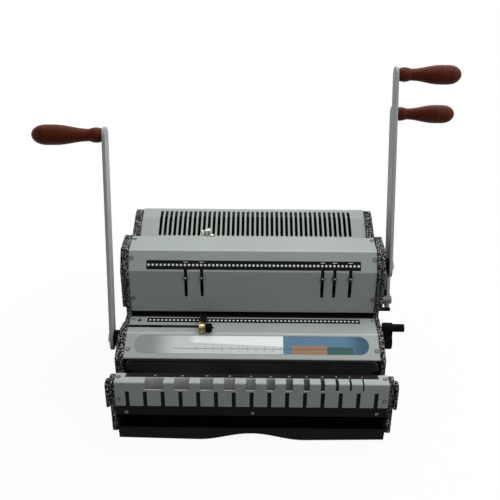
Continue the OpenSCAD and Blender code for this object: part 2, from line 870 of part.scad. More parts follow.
module upper_springs() {
    y0 = upper_rod[0] + rod_r;
    color(steel)
    both_sides()
    translate([spring_x, y0, upper_rod[1]])
    rotate([-90, 0, 0])
    coil(upper_ram_y - y0);
}
module lower_springs() {
    z0 = lower_ram_z + ram_t;
    color(steel)
    both_sides()
    translate([spring_x, lower_rod[0], z0])
    coil(lower_rod[1] - rod_r - z0);
}

// Bushes in the side frames
module bush(at, r) {
    difference() {
        bar(half_w, frame_out, at, r + bush_wall);
        bar(half_w - 1, frame_out + 1, at, r + run_gap);
    }
}
module shaft_bushes() {
    color(brass)
    both_sides() {
        bush([closer_y, closer_z], closer_shaft_r);
        bush([upper_y, upper_z], shaft_r);
        bush([lower_y, lower_z], shaft_r);
    }
}
module hub_cover() {
    color([0.2, 0.2, 0.2])
    difference() {
        bar(end_out, end_out + hub_cover_t, [upper_y, upper_z], hub_r + 7);
        bar(end_out - 1, end_out + hub_cover_t + 1, [upper_y, upper_z], hub_r + 1);
    }
}

// Levers. Each is built upright over its pivot and then leant back.
module lever_bar(reach, shaft_hole_r) {
    difference() {
        linear_extrude(lever_t) {
            translate([-lever_tail, 0])
            circle(lever_end_r);
            translate([-lever_tail, -lever_end_r])
            square([reach + lever_tail, lever_w]);
            translate([reach, 0])
            circle(lever_end_r);
        }
        translate([0, 0, -1])
        cylinder(h = lever_t + 2, r = shaft_hole_r);
        translate([reach, 0, -1])
        cylinder(h = lever_t + 2, r = stud_r);
    }
}
// Puts a lever that points along +X on the plane x, leaning back from upright
module on_pivot(x, at, lean) {
    translate([x, at[0], at[1]])
    rotate([90 - lean, 0, 0])
    rotate([90, 0, 90])
    children();
}
stud_r = 4;
stud_in = 60;
module grip(length) {
    neck = grip_r * 0.61;
    bead = grip_r * 0.75;
    full = length * 0.68;
    round_d = length * 0.2;
    rotate_extrude($fn = 48)
    polygon(concat(
        [[stud_r, 0], [neck, 0]],
        [for (i = [1:8]) [neck + (bead - neck) * sin(180 * i / 9), 20 * i / 9]],
        [for (i = [0:12]) let (s = i / 12)
            [neck + (grip_r - neck) * (1 - cos(180 * s)) / 2, 21 + (full - 21) * s]],
        [for (i = [0:8]) let (a = 90 * i / 8) [grip_r * cos(a), length - round_d + round_d * sin(a)]],
        [[0, stud_in], [stud_r, stud_in]]));
}
// The grip's end of a lever, with +Z outwards along the stud
module at_grip(x, at, lean, reach, side) {
    translate([x, at[0] + reach * sin(lean), at[1] + reach * cos(lean)])
    rotate([0, 90 * side, 0])
    children();
}
module lever_on(x, at, lean, reach, hole_r) {
    color(grey_paint)
    on_pivot(x, at, lean)
    lever_bar(reach, hole_r);
}
// Bolt head on the pivot and stud in the grip
module lever_bolts(x, at, lean, reach, side) {
    color(steel) {
        translate([x, at[0], at[1]])
        rotate([0, 90 * side, 0]) {
            cylinder(h = bolt_head_t * 0.35, r = bolt_head_r + 2.5);
            cylinder(h = bolt_head_t, r = bolt_head_r, $fn = 6);
        }
        at_grip(x, at, lean, reach, side)
        translate([0, 0, -lever_t])
        cylinder(h = lever_t + stud_in, r = stud_r);
    }
}
module hub(x0, x1, at, r) {
    color(black_plastic)
    difference() {
        bar(x0, x1, at, hub_r);
        bar(x0 - 1, x1 + 1, at, r);
    }
}
closer_at = [closer_y, closer_z];
upper_at = [upper_y, upper_z];
lower_at = [lower_y, lower_z];
left_lever_out = left_lever_x - lever_t;
near_lever_out = near_lever_x + lever_t;
far_lever_out = far_lever_x + lever_t;

module closer_lever() {
    lever_on(left_lever_out, closer_at, closer_lean, closer_reach, closer_shaft_r);
}
module closer_hub() {
    hub(left_lever_x, -frame_out - hub_gap, closer_at, closer_shaft_r);
}
module closer_bolts() {
    lever_bolts(left_lever_out, closer_at, closer_lean, closer_reach, -1);
}
module closer_grip() {
    color(wood)
    at_grip(left_lever_out, closer_at, closer_lean, closer_reach, -1)
    grip(closer_grip_len);
}
module upper_lever() {
    lever_on(near_lever_x, upper_at, punch_lean, upper_reach, shaft_r);
}
module upper_hub() {
    hub(frame_out + hub_gap, near_lever_x, upper_at, shaft_r);
}
module upper_bolts() {
    lever_bolts(near_lever_out, upper_at, punch_lean, upper_reach, 1);
}
module upper_grip() {
    color(wood)
    at_grip(near_lever_out, upper_at, punch_lean, upper_reach, 1)
    grip(punch_grip_len);
}
module lower_lever() {
    lever_on(far_lever_x, lower_at, punch_lean, lower_reach, shaft_r);
}
module lower_hub() {
    hub(frame_out + hub_gap, far_lever_x, lower_at, shaft_r);
}
module lower_bolts() {
    lever_bolts(far_lever_out, lower_at, punch_lean, lower_reach, 1);
}
module lower_grip() {
    color(wood)
    at_grip(far_lever_out, lower_at, punch_lean, lower_reach, 1)
    grip(punch_grip_len);
}

// Selectors: a pin through the slot on a flat slide behind the cover
selector_pin_r = 1.8;
slide_t = 2.4;
module selector(x) {
    back_y = upper_front_y + sheet_t + slide_gap;
    pin_out = back_y + 0.5 - upper_front_y;
    color(steel) {
        block([x - 4, back_y, selector_z - 9], [x + 4, back_y + slide_t, selector_z + 9]);
        translate([x, back_y + 0.5, selector_z])
        rotate([90, 0, 0]) {
            cylinder(h = pin_out + 1.5, r = selector_pin_r);
            translate([0, 0, pin_out + 1])
            cylinder(h = 2.2, r = selector_pin_r + 0.5);
        }
    }
}
module selector_1() { selector(selector_x[0]); }
module selector_2() { selector(selector_x[1]); }
module selector_3() { selector(selector_x[2]); }
module selector_4() { selector(selector_x[3]); }
module selector_5() { selector(selector_x[4]); }

// Paper guides
module guide_rod() {
    color(steel)
    bar(-half_w, half_w, guide_rod_at, guide_rod_r);
}
guide_w = 12;
fin_t = 2;
post_w = 9;
screw_neck_r = 2.5;
screw_knob_r = 4.5;
// The upper guide: a block on the rod that carries a post, with the clamp screw in the post's left side
// and a stop pin in its right side
module upper_guide() {
    y = guide_rod_at[0];
    z = guide_rod_at[1];
    color(brass)
    difference() {
        union() {
            across(guide_x - guide_w / 2, guide_x + guide_w / 2)
                polygon(rounded([[y - 2.5, z - 5, 0.5], [y + 4, z - 5, 1], [y + 4, z + 5, 1],
                                 [y - 5, z + 5, 1], [y - 5, z - 1.5, 0.5]]));
            across(guide_x - post_w / 2, guide_x + post_w / 2)
                polygon(rounded([[y + 2, z - 4, 0], [y + 14, z - 2, 1],
                                 [y + 15, z + 27, 2], [y + 4, z + 27, 2]]));
            bar(guide_x, guide_x + post_w / 2 + 6, guide_rod_at + [9.5, 15], 2.4);
        }
        bar(guide_x - guide_w, guide_x + guide_w, guide_rod_at, guide_rod_r + run_gap);
    }
}
module upper_guide_screw() {
    at = guide_rod_at + [9.5, 20];
    face_x = guide_x - post_w / 2;
    color(steel)
    union() {
        bar(face_x - 2, face_x, at, screw_neck_r);
        bar(face_x - 7, face_x - 1.5, at, screw_knob_r);
    }
}
// Height of the paper table at y
function table_z(y) = lower_fold_z
    + (lower_back_z - lower_fold_z) * (y - lower_fold_y) / (lower_back_y - lower_fold_y);
guide_lug_y = [-69, -57];
guide_back_y = -25;
guide_left_x = guide_x - 6.5;
guide_right_x = guide_x + 3;
guide_plate_t = 3;
guide_seat_z = table_z(guide_lug_y[1]) + slide_gap;
lower_knob_r = 6.8;
lower_screw_at = [-63, guide_seat_z + lower_knob_r + 0.2];
// The lower guide: a plate on the paper table with a fin at the back and a lug in front for the clamp screw
module lower_guide() {
    front_y = guide_lug_y[1] - 1;
    top = slide_gap + guide_plate_t;
    color(brass)
    difference() {
        union() {
            across(guide_left_x, guide_right_x)
                polygon([[front_y, table_z(front_y) + slide_gap],
                         [guide_back_y, table_z(guide_back_y) + slide_gap],
                         [guide_back_y, table_z(guide_back_y) + top],
                         [front_y, table_z(front_y) + top]]);
            across(guide_left_x, guide_right_x)
                polygon(rounded([[guide_lug_y[0], guide_seat_z, 1], [guide_lug_y[1], guide_seat_z, 0],
                                 [guide_lug_y[1], guide_seat_z + 14, 4],
                                 [guide_lug_y[0], guide_seat_z + 14, 4]]));
            across(guide_left_x, guide_left_x + fin_t)
                polygon(rounded([[guide_lug_y[1] - 1, guide_seat_z + 1, 0],
                                 [guide_back_y, table_z(guide_back_y) + 1, 0],
                                 [guide_back_y, table_z(guide_back_y) + 14, 3],
                                 [guide_lug_y[1] - 1, guide_seat_z + 13, 0]]));
            translate([guide_x, guide_slot_y, table_z(guide_slot_y) - 6])
            cylinder(h = 8, d = guide_slot_w - 2 * slide_gap);
            translate([guide_x, guide_slot_y, table_z(guide_slot_y) - 8])
            cylinder(h = 4, r = 4);
        }
        bar(guide_right_x - 5, guide_right_x + 1, lower_screw_at, screw_neck_r);
    }
}
module lower_guide_screw() {
    color(black_plastic)
    union() {
        bar(guide_right_x - 5, guide_right_x + 2, lower_screw_at, screw_neck_r);
        bar(guide_right_x + 0.5, guide_right_x + 10.5, lower_screw_at, lower_knob_r);
        bar(guide_right_x + 10, guide_right_x + 13, lower_screw_at, 1.5);
    }
}

// Knobs on the right
knob_t = 15;
knob_arm = 22.5;
peg_len = 18.5;
peg_r = 6.3;
module size_knob() {
    color(black_plastic)
    difference() {
        union() {
            translate([0, closer_y, closer_z])
            across(frame_out + hub_gap, frame_out + hub_gap + knob_t) {
                circle(closer_shaft_r + 6);
                translate([0, knob_arm])
                circle(peg_r + 2);
                translate([-peg_r - 2, 0])
                square([2 * peg_r + 4, knob_arm]);
            }
            bar(frame_out + hub_gap + knob_t - 1, frame_out + hub_gap + knob_t + peg_len,
                [closer_y, closer_z + knob_arm], peg_r);
        }
        bar(frame_out - 1, frame_out + hub_gap + knob_t + 1, closer_at, closer_shaft_r + run_gap);
    }
}
margin_pin_r = 4;
margin_knob_r = 6.5;
margin_knob_len = 17;
module margin_knob() {
    color(steel)
    union() {
        bar(half_w - 6, end_out + hub_gap + 1, margin_at, margin_pin_r);
        bar(end_out + hub_gap, end_out + hub_gap + margin_knob_len, margin_at, margin_knob_r);
        bar(half_w - 6, half_w - 1, margin_at + [0, 1.5], margin_pin_r + 2);
    }
}
lock_pin_r = 2.5;
module lock_screw() {
    color(black_plastic)
    union() {
        bar(half_w, frame_out + 1, lock_at, lock_pin_r);
        bar(frame_out, frame_out + 20, lock_at, 3.2);
    }
}

left_side_frame();
right_side_frame();
end_covers();
closer_end_plates();
upper_cover();
slotted_plate();
rear_panel();
lower_cover();
closer_channel();
closing_bar();
closer_bed();
front_tie_bar();
base_rails();
rubber_feet();
upper_die();
upper_stripper();
lower_die();
lower_stripper();
shaft_bushes();
guide_posts();
spring_rods();
upper_springs();
lower_springs();
hub_cover();
guide_rod();
lock_screw();
closer_lever();
closer_hub();
closer_shaft();
closer_bolts();
closer_grip();
closer_jaw();
pull_bars();
upper_lever();
upper_hub();
upper_shaft();
upper_bolts();
upper_grip();
upper_ram();
upper_pins();
lower_lever();
lower_hub();
lower_shaft();
lower_bolts();
lower_grip();
lower_ram();
lower_pins();
selector_1();
selector_2();
selector_3();
selector_4();
selector_5();
upper_guide();
upper_guide_screw();
lower_guide();
lower_guide_screw();
chip_tray();
size_knob();
margin_knob();
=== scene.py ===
"""Looks of a desk machine that punches paper and closes wire spines: finishes, prints and turned pieces.

Everything is in metres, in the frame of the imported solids: X to the operator's right, Y to the back, Z up.
"""
import json
import math

import bmesh
import bpy
import numpy as np
from mathutils import Matrix, Vector


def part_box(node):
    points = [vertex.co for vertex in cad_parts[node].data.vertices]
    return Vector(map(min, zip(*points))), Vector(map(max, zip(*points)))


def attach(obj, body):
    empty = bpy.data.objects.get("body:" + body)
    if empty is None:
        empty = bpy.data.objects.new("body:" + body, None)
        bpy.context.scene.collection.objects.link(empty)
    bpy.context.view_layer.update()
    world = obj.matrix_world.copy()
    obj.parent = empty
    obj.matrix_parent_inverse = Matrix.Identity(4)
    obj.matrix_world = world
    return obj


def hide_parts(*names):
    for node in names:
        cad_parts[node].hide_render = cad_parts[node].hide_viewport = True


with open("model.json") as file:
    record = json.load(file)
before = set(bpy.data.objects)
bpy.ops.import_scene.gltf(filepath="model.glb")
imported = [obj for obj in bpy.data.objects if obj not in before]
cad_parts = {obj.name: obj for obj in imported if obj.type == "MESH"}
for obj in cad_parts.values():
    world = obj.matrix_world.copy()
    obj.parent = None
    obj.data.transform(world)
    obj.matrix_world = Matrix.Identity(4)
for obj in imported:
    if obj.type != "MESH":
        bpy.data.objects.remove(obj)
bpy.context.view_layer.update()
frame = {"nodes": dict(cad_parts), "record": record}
nodes = frame["nodes"]
record = frame["record"]
slot_of = {part["node"]: part["material_slot"] for part in record["subparts"]}
body_of = {node: body for body, members in record["behaviour"]["bodies"].items() for node in members}
MM = 0.001


# Shader expressions

class Wire:
    """One output socket of a node tree. Arithmetic on it adds Math nodes."""

    def __init__(self, tree, socket=None):
        self.tree = tree
        self.socket = socket

    def make(self, kind, settings=(), links=(), out=0):
        """Adds a node: its settings are set first, then the values or wires of its sockets."""
        node = self.tree.nodes.new("ShaderNode" + kind)
        for name, value in dict(settings).items():
            setattr(node, name, value)
        for name, value in dict(links).items():
            if isinstance(value, Wire):
                self.tree.links.new(value.socket, node.inputs[name])
            else:
                node.inputs[name].default_value = value
        return Wire(self.tree, node.outputs[out] if node.outputs else None)

    def math(self, operation, *values):
        return self.make("Math", {"operation": operation}, dict(enumerate(values)))

    def __add__(self, other):
        return self.math("ADD", self, other)

    __radd__ = __add__

    def __sub__(self, other):
        return self.math("SUBTRACT", self, other)

    def __rsub__(self, other):
        return self.math("SUBTRACT", other, self)

    def __mul__(self, other):
        return self.math("MULTIPLY", self, other)

    __rmul__ = __mul__

    def __truediv__(self, other):
        return self.math("DIVIDE", self, other)

    def __abs__(self):
        return self.math("ABSOLUTE", self)

    def above(self, level, blur=0.0001):
        """1 where the value is over the level, else 0, with a soft edge."""
        return self.step(level - blur, level + blur)

    def between(self, low, high, blur=0.0001):
        """1 where the value lies between two levels."""
        return self.above(low, blur) * (1 - self.above(high, blur))

    def step(self, low, high):
        """A smooth step from 0 at low to 1 at high."""
        settings = {"interpolation_type": "SMOOTHSTEP"}
        return self.make("MapRange", settings, {"Value": self, "From Min": low, "From Max": high})

    def least(self, other):
        return self.math("MINIMUM", self, other)

    def most(self, other):
        return self.math("MAXIMUM", self, other)

    def mix(self, first, second):
        """The first colour where this is 0 and the second where it is 1."""
        return self.make("Mix", {"data_type": "RGBA"}, {0: self, 6: first, 7: second}, out=2)

    def axes(self):
        """The x, y and z of a vector."""
        split = self.make("SeparateXYZ", {}, {0: self})
        outputs = split.socket.node.outputs
        return [Wire(self.tree, outputs[i]) for i in range(3)]

    def stretched(self, *scale):
        """The vector times a scale for each axis."""
        return self.make("VectorMath", {"operation": "MULTIPLY"}, {0: self, 1: scale})

    def along(self, *direction):
        """How far the vector reaches along a direction."""
        return self.make("VectorMath", {"operation": "DOT_PRODUCT"}, {0: self, 1: direction}, out=1)

    def noise(self, scale, detail=2.0, roughness=0.5):
        links = {"Vector": self, "Scale": scale, "Detail": detail, "Roughness": roughness}
        return self.make("TexNoise", {}, links)

    def cells(self, scale, feature="F1", randomness=1.0):
        links = {"Vector": self, "Scale": scale, "Randomness": randomness}
        return self.make("TexVoronoi", {"feature": feature}, links)


def rgb(r, g, b):
    """An opaque colour."""
    return (r, g, b, 1.0)


def new_finish(name):
    """An empty material and a wire that holds the place on the object, in metres."""
    material = bpy.data.materials.new(name)
    material.use_nodes = True
    material.node_tree.nodes.clear()
    place = Wire(material.node_tree).make("TexCoord", out=3)
    return material, place


def coat(material, colour, roughness, bump=None, depth=0.0, **constants):
    """Puts one Principled shader on the material. Constants go on the shader's own sockets."""
    tree = Wire(material.node_tree)
    links = {"Base Color": colour, "Roughness": roughness}
    if bump is not None:
        links["Normal"] = tree.make("Bump", {}, {"Height": bump, "Distance": depth, "Strength": 1.0})
    for name, value in constants.items():
        links[name.replace("_", " ").title().replace("Ior", "IOR")] = value
    shader = tree.make("BsdfPrincipled", {}, links)
    tree.make("OutputMaterial", {}, {"Surface": shader})
    return material


# Finishes

def powder_coat(name, dark, pale, shade_before=None, fold=None, pin_shade_x=(), slot_shade=None):
    """Powder coat: a fine orange peel, faint cloudiness and a grain of slightly paler specks.

    A sheet is painted black before a given y, as painted shade on its inner side, which shows only through
    slots. A fold, given as its (y, z), gets a painted highlight: a pale line along it. Painted shade lies in
    dark patches about the selector pins, which fade with the distance from each pin's column and from a band
    of heights. A band along a slot, given as its y, half its width and its right end, is painted black as the
    slot's shade.
    """
    material, place = new_finish(name)
    cloud = place.noise(9.0, 3.0)
    grain = place.noise(2600.0, 1.0)
    peel = place.noise(700.0, 2.0)
    tone = (cloud * 0.7 + grain * 0.3).step(0.3, 0.7)
    colour = tone.mix(rgb(*dark), rgb(*pale))
    x, y, z = place.axes()
    # Painted shade: black before the given y, on the inner side of a sheet seen through slots
    if shade_before is not None:
        colour = y.above(shade_before).mix(rgb(0.004, 0.004, 0.004), colour)
    # Painted highlight: a pale line along the fold
    if fold is not None:
        edge = 1 - abs(y - fold[0]).most(abs(z - fold[1])).step(0.5 * MM, 1.7 * MM)
        colour = (edge * 0.6).mix(colour, rgb(0.66, 0.70, 0.68))
    # Painted shade: a black band along the guide's slot
    if slot_shade is not None:
        slot_y, half, end_x = slot_shade
        black = (1 - abs(y - slot_y).step(half - 0.4 * MM, half)) * (1 - x.above(end_x))
        colour = black.mix(colour, rgb(0.006, 0.006, 0.006))
    # Painted shade: dark patches beside the selector pins, in a band of heights
    if len(pin_shade_x):
        beside = 1 - nearest(x, pin_shade_x).step(2.0 * MM, 9.0 * MM)
        level = 1 - abs(z - PIN_SHADE_Z).step(2 * MM, 10 * MM)
        patchy = place.noise(260.0, 3.0).step(0.30, 0.65)
        colour = (beside * level * patchy * 0.55).mix(colour, rgb(0.05, 0.052, 0.050))
    rough = 0.42 + 0.12 * cloud
    return coat(material, colour, rough, bump=peel, depth=0.06 * MM, specular_ior_level=0.3)


def hammer_black():
    """Black hammered paint: rounded black cells stand proud, with pale specks and faint veins between.

    The specks are painted fainter on the flat sides, which face along X, than on the rounded edges: painted
    shade for how the light catches them.
    """
    material, place = new_finish("hammer_black")
    cell = place.cells(620.0, "DISTANCE_TO_EDGE")
    vein = (0.10 - cell).step(0.0, 0.07) * place.noise(330.0, 2.0).step(0.45, 0.60)
    speck = place.noise(570.0, 2.0, 0.6).step(0.580, 0.606)
    # Painted shade: the specks are dimmed where the surface faces along X
    flat = abs(place.make("TexCoord", out=1).axes()[0]).step(0.80, 0.97)
    spark = speck.most(vein * 0.07) * (1 - 0.80 * flat)
    colour = spark.mix(rgb(0.002, 0.002, 0.0025), rgb(0.80, 0.81, 0.81))
    return coat(material, colour, 0.45 + 0.2 * spark, bump=cell, depth=0.30 * MM, specular_ior_level=0.03)


def satin_black(name, level, rough=0.5, shine=0.06, shade_over=None):
    """Thin satin black paint with a fine grain and rubbed patches, and painted shade: dead black over a given
    height.
    """
    material, place = new_finish(name)
    patch = place.noise(14.0, 4.0, 0.6)
    grain = place.noise(1800.0, 2.0)
    colour = patch.step(0.35, 0.75).mix(rgb(level, level, level), rgb(level * 1.7, level * 1.7, level * 1.72))
    # Painted shade: dead black over the given height, on the closing bar's top
    if shade_over is not None:
        colour = place.axes()[2].above(shade_over).mix(colour, rgb(0.001, 0.001, 0.001))
    return coat(material, colour, rough + 0.15 * (patch - 0.5), bump=grain, depth=0.04 * MM,
                specular_ior_level=shine)


def ground_steel(name, tone, rough=0.26):
    """Ground and plated steel, a trace blue: fine scratches drawn out along X."""
    material, place = new_finish(name)
    scratch = place.stretched(1, 40, 40).noise(120.0, 4.0, 0.6)
    bright = np.array((1.0, 1.0, 1.01)) * tone
    colour = scratch.mix(rgb(*bright * 0.8), rgb(*bright))
    return coat(material, colour, rough + 0.16 * scratch, bump=scratch, depth=0.03 * MM, metallic=1.0)


def zinc_plate():
    """Dull white zinc plating with pale streaks drawn out upwards, darker to the right as painted shade in
    the narrow notches.
    """
    material, place = new_finish("zinc_plate")
    streak = place.stretched(1, 1, 0.05).noise(700.0, 3.0, 0.6)
    colour = streak.step(0.3, 0.7).mix(rgb(0.78, 0.78, 0.76), rgb(0.99, 0.99, 0.97))
    # Painted shade: darker to the right, where the notches are narrow
    notch_shade = place.axes()[0].step(-0.02, 0.13) * 0.85
    colour = notch_shade.mix(colour, rgb(0.10, 0.10, 0.095))
    return coat(material, colour, 0.45 + 0.2 * streak, bump=streak, depth=0.03 * MM, specular_ior_level=0.4)


def pin_steel(middle_z, tip_y):
    """A blackened slide whose pin carries a painted glint: bright only in the middle of its tip."""
    material, place = new_finish("selector_steel")
    scratch = place.stretched(40, 1, 40).noise(140.0, 3.0, 0.6)
    x, y, z = place.axes()
    aside = nearest(x, SELECTOR_X)
    rise = z - middle_z
    # Painted glint: a small bright metal spot in the middle of each pin's tip
    glint_spot = 1 - (aside * aside + rise * rise).step((0.7 * MM) ** 2, (1.5 * MM) ** 2)
    tip = glint_spot * (1 - y.above(tip_y))
    colour = tip.mix(rgb(0.008, 0.008, 0.008), rgb(0.55, 0.55, 0.56))
    return coat(material, colour, 0.34 + 0.2 * scratch, bump=scratch, depth=0.03 * MM, metallic=tip,
                specular_ior_level=0.1)


def nearest(x, places):
    """Distance from x to the nearest of a few places."""
    gap = abs(x - float(places[0]))
    for place in places[1:]:
        gap = gap.least(abs(x - float(place)))
    return gap


def stained_nickel():
    """Worn nickel plating, with small dark stains where it has gone."""
    material, place = new_finish("stained_nickel")
    stain = place.noise(330.0, 3.0, 0.6)
    colour = stain.step(0.38, 0.56).mix(rgb(0.045, 0.038, 0.022), rgb(0.80, 0.77, 0.69))
    return coat(material, colour, 0.42 - 0.2 * stain, bump=stain, depth=0.05 * MM, metallic=1.0)


def plain_brass(name, fine=130.0, dark_behind=None):
    """Brass, a little dulled, with cloudy tarnish of a given fineness, and dark behind a given y."""
    material, place = new_finish(name)
    cloud = place.noise(fine, 4.0, 0.6)
    colour = cloud.step(0.38, 0.66).mix(rgb(0.20, 0.145, 0.055), rgb(0.80, 0.68, 0.40))
    if dark_behind is not None:
        y = place.axes()[1] + 4 * MM * cloud
        colour = y.step(dark_behind, dark_behind + 3 * MM).mix(colour, rgb(0.035, 0.032, 0.022))
    return coat(material, colour, 0.24 + 0.2 * cloud, bump=cloud, depth=0.04 * MM, metallic=1.0)


def varnished_wood():
    """Red-brown varnished hardwood: pores and growth bands run along the grip, with burnt grooves."""
    material, place = new_finish("varnished_wood")
    band = place.stretched(0.09, 1, 1).noise(95.0, 3.0, 0.55)
    pore = place.stretched(0.04, 1, 1).noise(900.0, 2.0, 0.6)
    folds = band * 9.0
    wave = folds - folds.math("FLOOR", folds)
    figure = wave.step(0.15, 0.85) * 0.5 + band * 0.5
    warm = figure.mix(rgb(0.048, 0.0066, 0.0019), rgb(0.130, 0.0208, 0.0061))
    pored = pore.step(0.60, 0.70).mix(warm, rgb(0.028, 0.004, 0.0015))
    burn_and_shade = place.make("Attribute", {"attribute_name": "burn_and_shade"}, out=2)
    colour = burn_and_shade.mix(pored, rgb(0.010, 0.003, 0.002))
    return coat(material, colour, 0.34 + 0.15 * pore, bump=pore, depth=0.08 * MM, specular_ior_level=0.09)


def moulded_black(name, level, shine=0.12):
    """Black moulded plastic with a fine spark-eroded grain."""
    material, place = new_finish(name)
    grain = place.noise(1500.0, 2.0, 0.6)
    patch = place.noise(40.0, 3.0)
    dark, pale = level * 0.8, level * 1.6
    colour = patch.mix(rgb(dark, dark, dark), rgb(pale, pale, level * 1.65))
    return coat(material, colour, 0.42 + 0.16 * patch, bump=grain, depth=0.08 * MM, specular_ior_level=shine)


def foot_rubber():
    """Black rubber with a dusty bloom."""
    material, place = new_finish("foot_rubber")
    bloom = place.noise(160.0, 4.0, 0.6)
    colour = bloom.step(0.4, 0.8).mix(rgb(0.012, 0.012, 0.012), rgb(0.035, 0.034, 0.033))
    return coat(material, colour, 0.75 + 0.15 * bloom, bump=bloom, depth=0.1 * MM, specular_ior_level=0.2)


# Places that the finishes follow, by their y or z, and folds by their (y, z)
COVER_FRONT_Y = -17.5 * MM
PANEL_FRONT_Y = 163 * MM
SELECTOR_Z = 189.5 * MM
# The middle height of the painted shade about the selector pins
PIN_SHADE_Z = 187 * MM
# Over this height the closing bar's top is painted dead black, as painted shade
BAR_SHADE_Z = 95.6 * MM
GUIDE_DARK_Y = -55 * MM
# Folds that get a painted highlight, as their (y, z)
COVER_FOLD = (-1 * MM, 228.6 * MM)
TABLE_FOLD = (-66 * MM, 116.9 * MM)
# The band of painted shade along the lower guide's slot: its y, half its width and the x of its right end
GUIDE_SLOT_SHADE = (-49 * MM, 3.6 * MM, -70 * MM)
GREY = ((0.352, 0.390, 0.367), (0.384, 0.424, 0.398))
SELECTOR_X = np.array((-106, -80.5, 110, 129, 154)) * MM
BY_SLOT = {
    "grey_paint": powder_coat("powder_grey", *GREY),
    "frame_paint": hammer_black(),
    "black_paint": satin_black("satin_black", 0.0035),
    "tray_paint": satin_black("tray_black", 0.0036, 0.45),
    "tool_steel": ground_steel("ground_steel", 0.62),
    "brass": plain_brass("plain_brass"),
    "wood": varnished_wood(),
    "black_plastic": moulded_black("moulded_black", 0.0022, 0.03),
    "rubber": foot_rubber(),
}
lever_grey = powder_coat("lever_grey", (0.385, 0.402, 0.393), (0.420, 0.437, 0.428))
# Its top is painted dead black over a given height, as painted shade
bar_black = satin_black("bar_black", 0.0250, 0.55, 0.09, shade_over=BAR_SHADE_Z)
guide_brass = plain_brass("guide_brass", 300.0, dark_behind=GUIDE_DARK_Y)
dull_steel = ground_steel("dull_steel", 0.12, rough=0.45)
bolt_steel = ground_steel("bolt_steel", 0.30, rough=0.40)
nickel = stained_nickel()
# Painted shade: the steel parts inside are near black, standing for the shade inside the machine
shaded_inner_steel = ground_steel("shaded_inner_steel", 0.035, rough=0.42)
# Painted shade: the rear panel's inner side is black
panel_grey = powder_coat("panel_grey", *GREY, PANEL_FRONT_Y + 0.3 * MM)
# Painted highlight along its fold, and painted shade about the selector pins
cover_grey = powder_coat("cover_grey", *GREY, fold=COVER_FOLD, pin_shade_x=SELECTOR_X)
# Painted highlight along its fold, and painted shade along the guide's slot
table_grey = powder_coat("table_grey", *GREY, fold=TABLE_FOLD, slot_shade=GUIDE_SLOT_SHADE)
# A painted glint on each pin's tip
selector_finish = pin_steel(SELECTOR_Z, COVER_FRONT_Y - 2.9 * MM)
INSIDE = ("upper_ram", "lower_ram", "upper_pins", "lower_pins", "upper_die", "lower_die", "upper_stripper",
          "lower_stripper", "guide_posts", "spring_rods", "upper_springs", "lower_springs", "upper_shaft",
          "lower_shaft", "closer_shaft")
SPECIAL = {"closing_bar": bar_black, "margin_knob": dull_steel, "rear_panel": panel_grey,
           "upper_guide": nickel, "lower_guide": guide_brass, "upper_cover": cover_grey,
           "lower_cover": table_grey, "closer_jaw": zinc_plate()}
for lever in ("closer", "upper", "lower"):
    SPECIAL[lever + "_lever"] = lever_grey
    SPECIAL[lever + "_bolts"] = bolt_steel
SPECIAL.update({f"selector_{i}": selector_finish for i in range(1, 6)})
SPECIAL.update({node: shaded_inner_steel for node in INSIDE})
finish_of = {node: SPECIAL.get(node, BY_SLOT[slot]) for node, slot in slot_of.items()}
for node, finish in finish_of.items():
    nodes[node].data.materials.clear()
    nodes[node].data.materials.append(finish)


# Surfaces

def closed_rings(rings):
    """A closed surface through rings of points, given as an array (ring, place round it, xyz).

    Quads join each ring to the next, and a fan joins the first and last ring to its own middle.
    """
    rows, around, _ = rings.shape
    first = np.arange(rows - 1)[:, None] * around
    here, after = np.arange(around), (np.arange(around) + 1) % around
    quads = np.stack((first + here, first + after, first + around + after, first + around + here), axis=-1)
    last = (rows - 1) * around
    low, high = np.full(around, rows * around), np.full(around, rows * around + 1)
    low_fan = np.stack((low, after, here), axis=-1)
    high_fan = np.stack((high, last + here, last + after), axis=-1)
    points = np.concatenate((rings.reshape(-1, 3), rings[[0, -1]].mean(axis=1)))
    return points, [quads.reshape(-1, 4), np.concatenate((low_fan, high_fan))]


def turned(profile, sides, ripple=0.0, teeth=0):
    """A surface of revolution about +Z through (radius, height) rows, rippled by a number of teeth."""
    radius, height = np.asarray(profile, float).T
    angle = np.linspace(0, 2 * np.pi, sides, endpoint=False)
    reach = radius[:, None] + (np.zeros_like(radius) + ripple)[:, None] * np.cos(teeth * angle)
    rings = np.stack((reach * np.cos(angle), reach * np.sin(angle), height[:, None] + 0 * reach), axis=-1)
    return closed_rings(rings)


def aimed(shape, place, axis):
    """The shape turned so that +Z runs along the axis, then moved to the place."""
    points, faces = shape
    axis = np.asarray(axis, float) / np.linalg.norm(axis)
    aside = np.cross((0.0, 0.0, 1.0) if abs(axis[0]) > 0.9 else (1.0, 0.0, 0.0), axis)
    aside /= np.linalg.norm(aside)
    return points @ np.stack((aside, np.cross(axis, aside), axis)) + np.asarray(place), faces


def put_piece(name, shapes, finish, body, stands_for=(), smooth=True, burn_and_shade=None):
    """One mesh object out of several shapes. It rides on a body and may stand for solids."""
    starts = np.cumsum([0] + [len(points) for points, _ in shapes])
    faces = []
    for (_, blocks), start in zip(shapes, starts):
        for block in blocks:
            faces.extend((block + start).tolist())
    mesh = bpy.data.meshes.new(name)
    mesh.from_pydata(np.concatenate([points for points, _ in shapes]).tolist(), [], faces)
    mesh.polygons.foreach_set("use_smooth", np.full(len(faces), smooth))
    if burn_and_shade is not None:
        mesh.attributes.new("burn_and_shade", "FLOAT", "POINT").data.foreach_set("value", np.asarray(burn_and_shade, np.float32))
    mesh.materials.append(finish)
    piece = bpy.data.objects.new(name, mesh)
    bpy.context.scene.collection.objects.link(piece)
    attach(piece, body)
    if stands_for:
        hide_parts(*stands_for)


# Solids with eased edges

